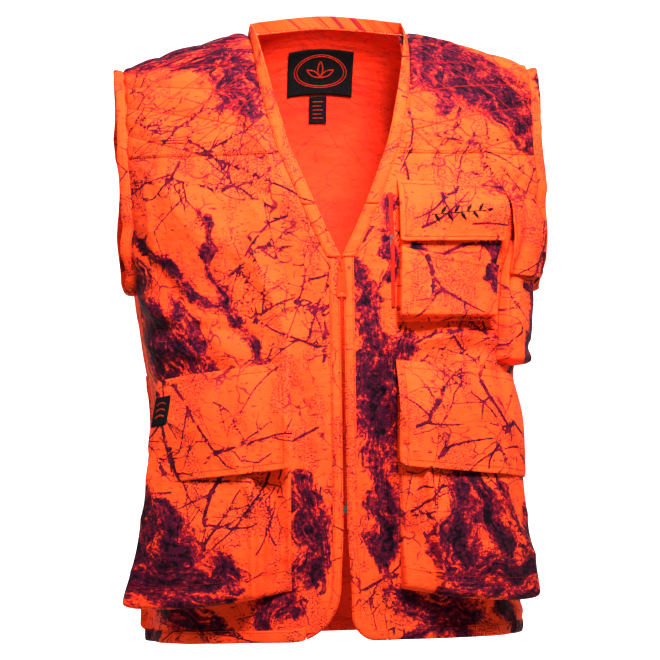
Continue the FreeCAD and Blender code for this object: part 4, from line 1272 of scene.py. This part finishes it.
def inner_label(name, node, body, x, h, device):
    """A woven label against the inside of the back."""
    cloth = Cloth(name)
    u, v = np.linspace(0, 1, 30)[None, :], np.linspace(0, 1, 24)[:, None]
    q = q_at_height(np.full(v.shape, 180.0), mix(h[0], h[1], v))
    phi = 180 - phi_at(mix(x[0], x[1], u) + 0 * v, q + 0 * u)
    level = -CLOTH - 0.0010 - 0.0008 * np.abs(lattice(u * 3, v * 2, 131))
    outer, back = lift(phi, q, level - 0.0007), lift(phi, q, level)
    cloth.shell(outer, back, (0.0, 0.0), flip=True)
    normal = -frame_at(phi, q + 0 * phi)[2]
    piece = cloth.build([BLACK_WEAVE])
    placed(piece, body, node, slot="label_cloth")
    sewn = Cloth(name + "_badge")
    device(sewn, outer, normal)
    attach(sewn.build([DARK_THREAD, MOTIF]), body)


def ring_and_leaves(cloth, outer, normal):
    """An oval ring round three leaves."""
    t = np.linspace(0, 2 * math.pi, 70)
    for size in (1.0, 0.90):
        us, vs = 0.5 + 0.40 * size * np.cos(t), 0.52 + 0.36 * size * np.sin(t)
        sew(cloth, outer, normal, us, vs, 0.0011, 0.0006, 1)
    for k, way in enumerate((150, 90, 30)):
        for bend in (-1, 1):
            r = np.linspace(0, 1, 14)
            a = math.radians(way)
            width = 0.055 * np.sin(np.pi * r) * bend
            us = 0.5 + 0.24 * r * math.cos(a) - width * math.sin(a) * 0.7
            vs = 0.38 + 0.36 * r * math.sin(a) + width * math.cos(a)
            sew(cloth, outer, normal, us, vs, 0.0016, 0.0006, 1)


def plain_bars(cloth, outer, normal):
    """Rows of care-label bars."""
    for k in range(5):
        us, vs = np.linspace(0.2, 0.8 - 0.1 * (k % 2), 6), np.full(6, 0.2 + 0.15 * k)
        sew(cloth, outer, normal, us, vs, 0.0010, 0.0004, 1)


def chest_zip():
    """The hidden zip's tape."""
    cloth = Cloth("chest_zip")
    q, u = np.linspace(0.372, 0.500, 50)[:, None], np.linspace(-1, 1, 7)[None, :]
    phi = phi_at(0.057 + 0.0024 * u, q)
    height = 0.0006 + 0.0006 * np.exp(-((u / 0.3) ** 2))
    cloth.shell(lift(phi, q, height), lift(phi, q, 0.0002), st_of(phi, q))
    placed(cloth.build([TAPE]), "garment", "chest_zip_tape", slot="zip_tape")


def fastener_patches():
    """The hook patch under the chest flap and the loop patch on the pocket's face."""
    for node, body, level in (
        ("chest_flap_hook_patch", "chest_flap", 0.0118), ("chest_pocket_loop_patch", "garment", 0.0096),
    ):
        (x0, _, z0), (x1, _, z1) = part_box(node)
        q, u = np.linspace(z0, z1, 10)[:, None] + NECK_HEIGHT, np.linspace(x0, x1, 24)[None, :]
        phi, q = np.broadcast_arrays(phi_at(u + 0 * q, q + 0 * u), q + 0 * u)
        cloth = Cloth(node)
        cloth.shell(lift(phi, q, level), lift(phi, q, level - 0.0008), st_of(phi, q))
        placed(cloth.build([PILE]), body, node, slot="hook_and_loop")


def moulded_pull():
    """The long zip pull: a bar, a waisted tab with a raised rim and a slot."""
    (x0, y0, z0), (x1, y1, z1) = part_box("zip_pull")
    bar_radius = 0.0009
    middle, top, foot = (x0 + x1) / 2, z1 - bar_radius, z0
    cloth = Cloth("zip_tab")
    level = y0 + 0.0011
    v, u = np.linspace(0, 1, 60)[:, None], np.linspace(-1, 1, 21)[None, :]
    half = np.interp(v, [0, 0.06, 0.12, 0.75, 0.86, 1.0], [0.0048, 0.0062, 0.0063, 0.0044, 0.0040, 0.0034])
    rim = 0.0007 + 0.0005 * np.clip(np.abs(u) * 5 - 3.6, 0, 1) + 0.0004 * np.exp(-(((v - 0.04) / 0.03) ** 2))
    rim = rim - 0.0006 * np.exp(-((np.abs(u) / 0.45) ** 8)) * np.exp(-(((v - 0.155) / 0.022) ** 4))
    round_edge = np.sqrt(np.clip(1 - np.abs(u) ** 8, 0, 1))
    z = mix(foot, top, v) + 0 * u
    front = np.stack(np.broadcast_arrays(middle + half * u, level - rim * round_edge - 0.0002, z), -1)
    behind = np.stack(np.broadcast_arrays(middle + half * u, level + 0.0007 * round_edge, z), -1)
    cloth.shell(front, behind, (0.0, 0.0))
    angles = np.linspace(0, 2 * math.pi, 17)[:, None]
    along = np.linspace(-0.0045, 0.0045, 5)[None, :]
    bar = np.stack(np.broadcast_arrays(
        middle + along, (y0 + y1) / 2 + bar_radius * np.cos(angles), top + bar_radius * np.sin(angles)), -1)
    cloth.grid(bar, (0.0, 0.0))
    placed(cloth.build([PLASTIC]), "zip_pull", "zip_pull", slot="zip_plastic")


def repaint(node, material):
    """Gives a CAD node that stays its better material."""
    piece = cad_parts[node]
    for slot in piece.material_slots:
        slot.material = material


# ---- the studio -----------------------------------------------------------------------------


FLOOR = -1.40


def studio():
    camera = bpy.data.objects.new("camera", bpy.data.cameras.new("camera"))
    bpy.context.scene.collection.objects.link(camera)
    bpy.context.scene.camera = camera
    azimuth, elevation, distance, roll = -6.0, 0.5, 3.3, -0.9
    target = Vector((-0.0007, 0.0, -0.3407))
    a, e = math.radians(azimuth), math.radians(elevation)
    away = Vector((math.sin(a) * math.cos(e), -math.cos(a) * math.cos(e), math.sin(e)))
    camera.location = target + away * distance
    turn = (-away).to_track_quat("-Z", "Y").to_matrix().to_4x4()
    camera.matrix_world = (
        Matrix.Translation(camera.location) @ turn @ Matrix.Rotation(math.radians(roll), 4, "Z")
    )
    camera.data.sensor_width = 36
    camera.data.lens = 36 * distance / 0.766
    camera.data.clip_end = 50

    def area(name, place, size, power, spread=180):
        lamp = bpy.data.objects.new(name, bpy.data.lights.new(name, "AREA"))
        lamp.data.shape, lamp.data.size, lamp.data.energy = "SQUARE", size, power
        lamp.data.spread = math.radians(spread)
        bpy.context.scene.collection.objects.link(lamp)
        lamp.location = place
        lamp.rotation_euler = (Vector((0, 0, -0.16)) - Vector(place)).to_track_quat("-Z", "Y").to_euler()

    area("key", (0.25, -1.30, 0.85), 0.5, 15.6, 60)
    area("fill", (-1.6, -2.2, 1.0), 1.4, 12)
    area("top", (0.0, 0.3, 2.2), 1.6, 13)
    area("back", (0.0, 2.6, 1.4), 1.6, 36)
    world = bpy.data.worlds.new("studio")
    world.use_nodes = True
    world.node_tree.nodes["Background"].inputs[0].default_value = (1, 1, 1, 1)
    world.node_tree.nodes["Background"].inputs[1].default_value = 0.20
    bpy.context.scene.world = world
    bpy.context.scene.view_settings.view_transform = "Standard"
    floor, wall = Cloth("floor"), Cloth("wall")
    x, y = np.linspace(-6, 6, 5)[None, :], np.linspace(-6, 6, 5)[:, None]
    floor.grid(np.stack(np.broadcast_arrays(x, y, FLOOR), -1), (0.0, 0.0))
    turn, z = np.linspace(-1.7, 1.7, 40)[None, :], np.array([FLOOR, 1.0])[:, None]
    wall.grid(np.stack(np.broadcast_arrays(5 * np.sin(turn), 5 * np.cos(turn), z), -1), (0.0, 0.0))
    for piece, glow in ((floor, 0.0), (wall, 1.0)):
        n = Nodes(piece.name)
        n.shader.inputs["Emission Color"].default_value = (1, 1, 1, 1)
        n.shader.inputs["Emission Strength"].default_value = glow
        piece.build([n.finish((0.93, 0.93, 0.93), 0.9)])


studio()
front_cloth("right")
front_cloth("left")
back_cloth()
neck_bands()
back_neck_band()
plackets()
hem_bands()
armhole_bindings()
shoulder_quilts()
lower_pockets()
chest_pockets()
side_pocket()
game_bag()
flaps()
inner_label("neck_label_cloth", "neck_label", "garment", (-0.039, 0.039), (0.628, 0.680), ring_and_leaves)
inner_label("size_tag_cloth", "size_tag", "size_tag", (-0.012, 0.009), (0.594, 0.626), plain_bars)
chest_zip()
fastener_patches()
moulded_pull()
for node in ("left_zip_tape", "right_zip_tape"):
    repaint(node, TAPE)
for node in ("left_zip_teeth", "right_zip_teeth", "left_zip_top_stop", "right_zip_top_stop", "zip_slider"):
    repaint(node, PLASTIC)
for node in ("zip_retainer_box", "zip_insertion_pin", "chest_zip_slider", "chest_zip_pull"):
    repaint(node, METAL)
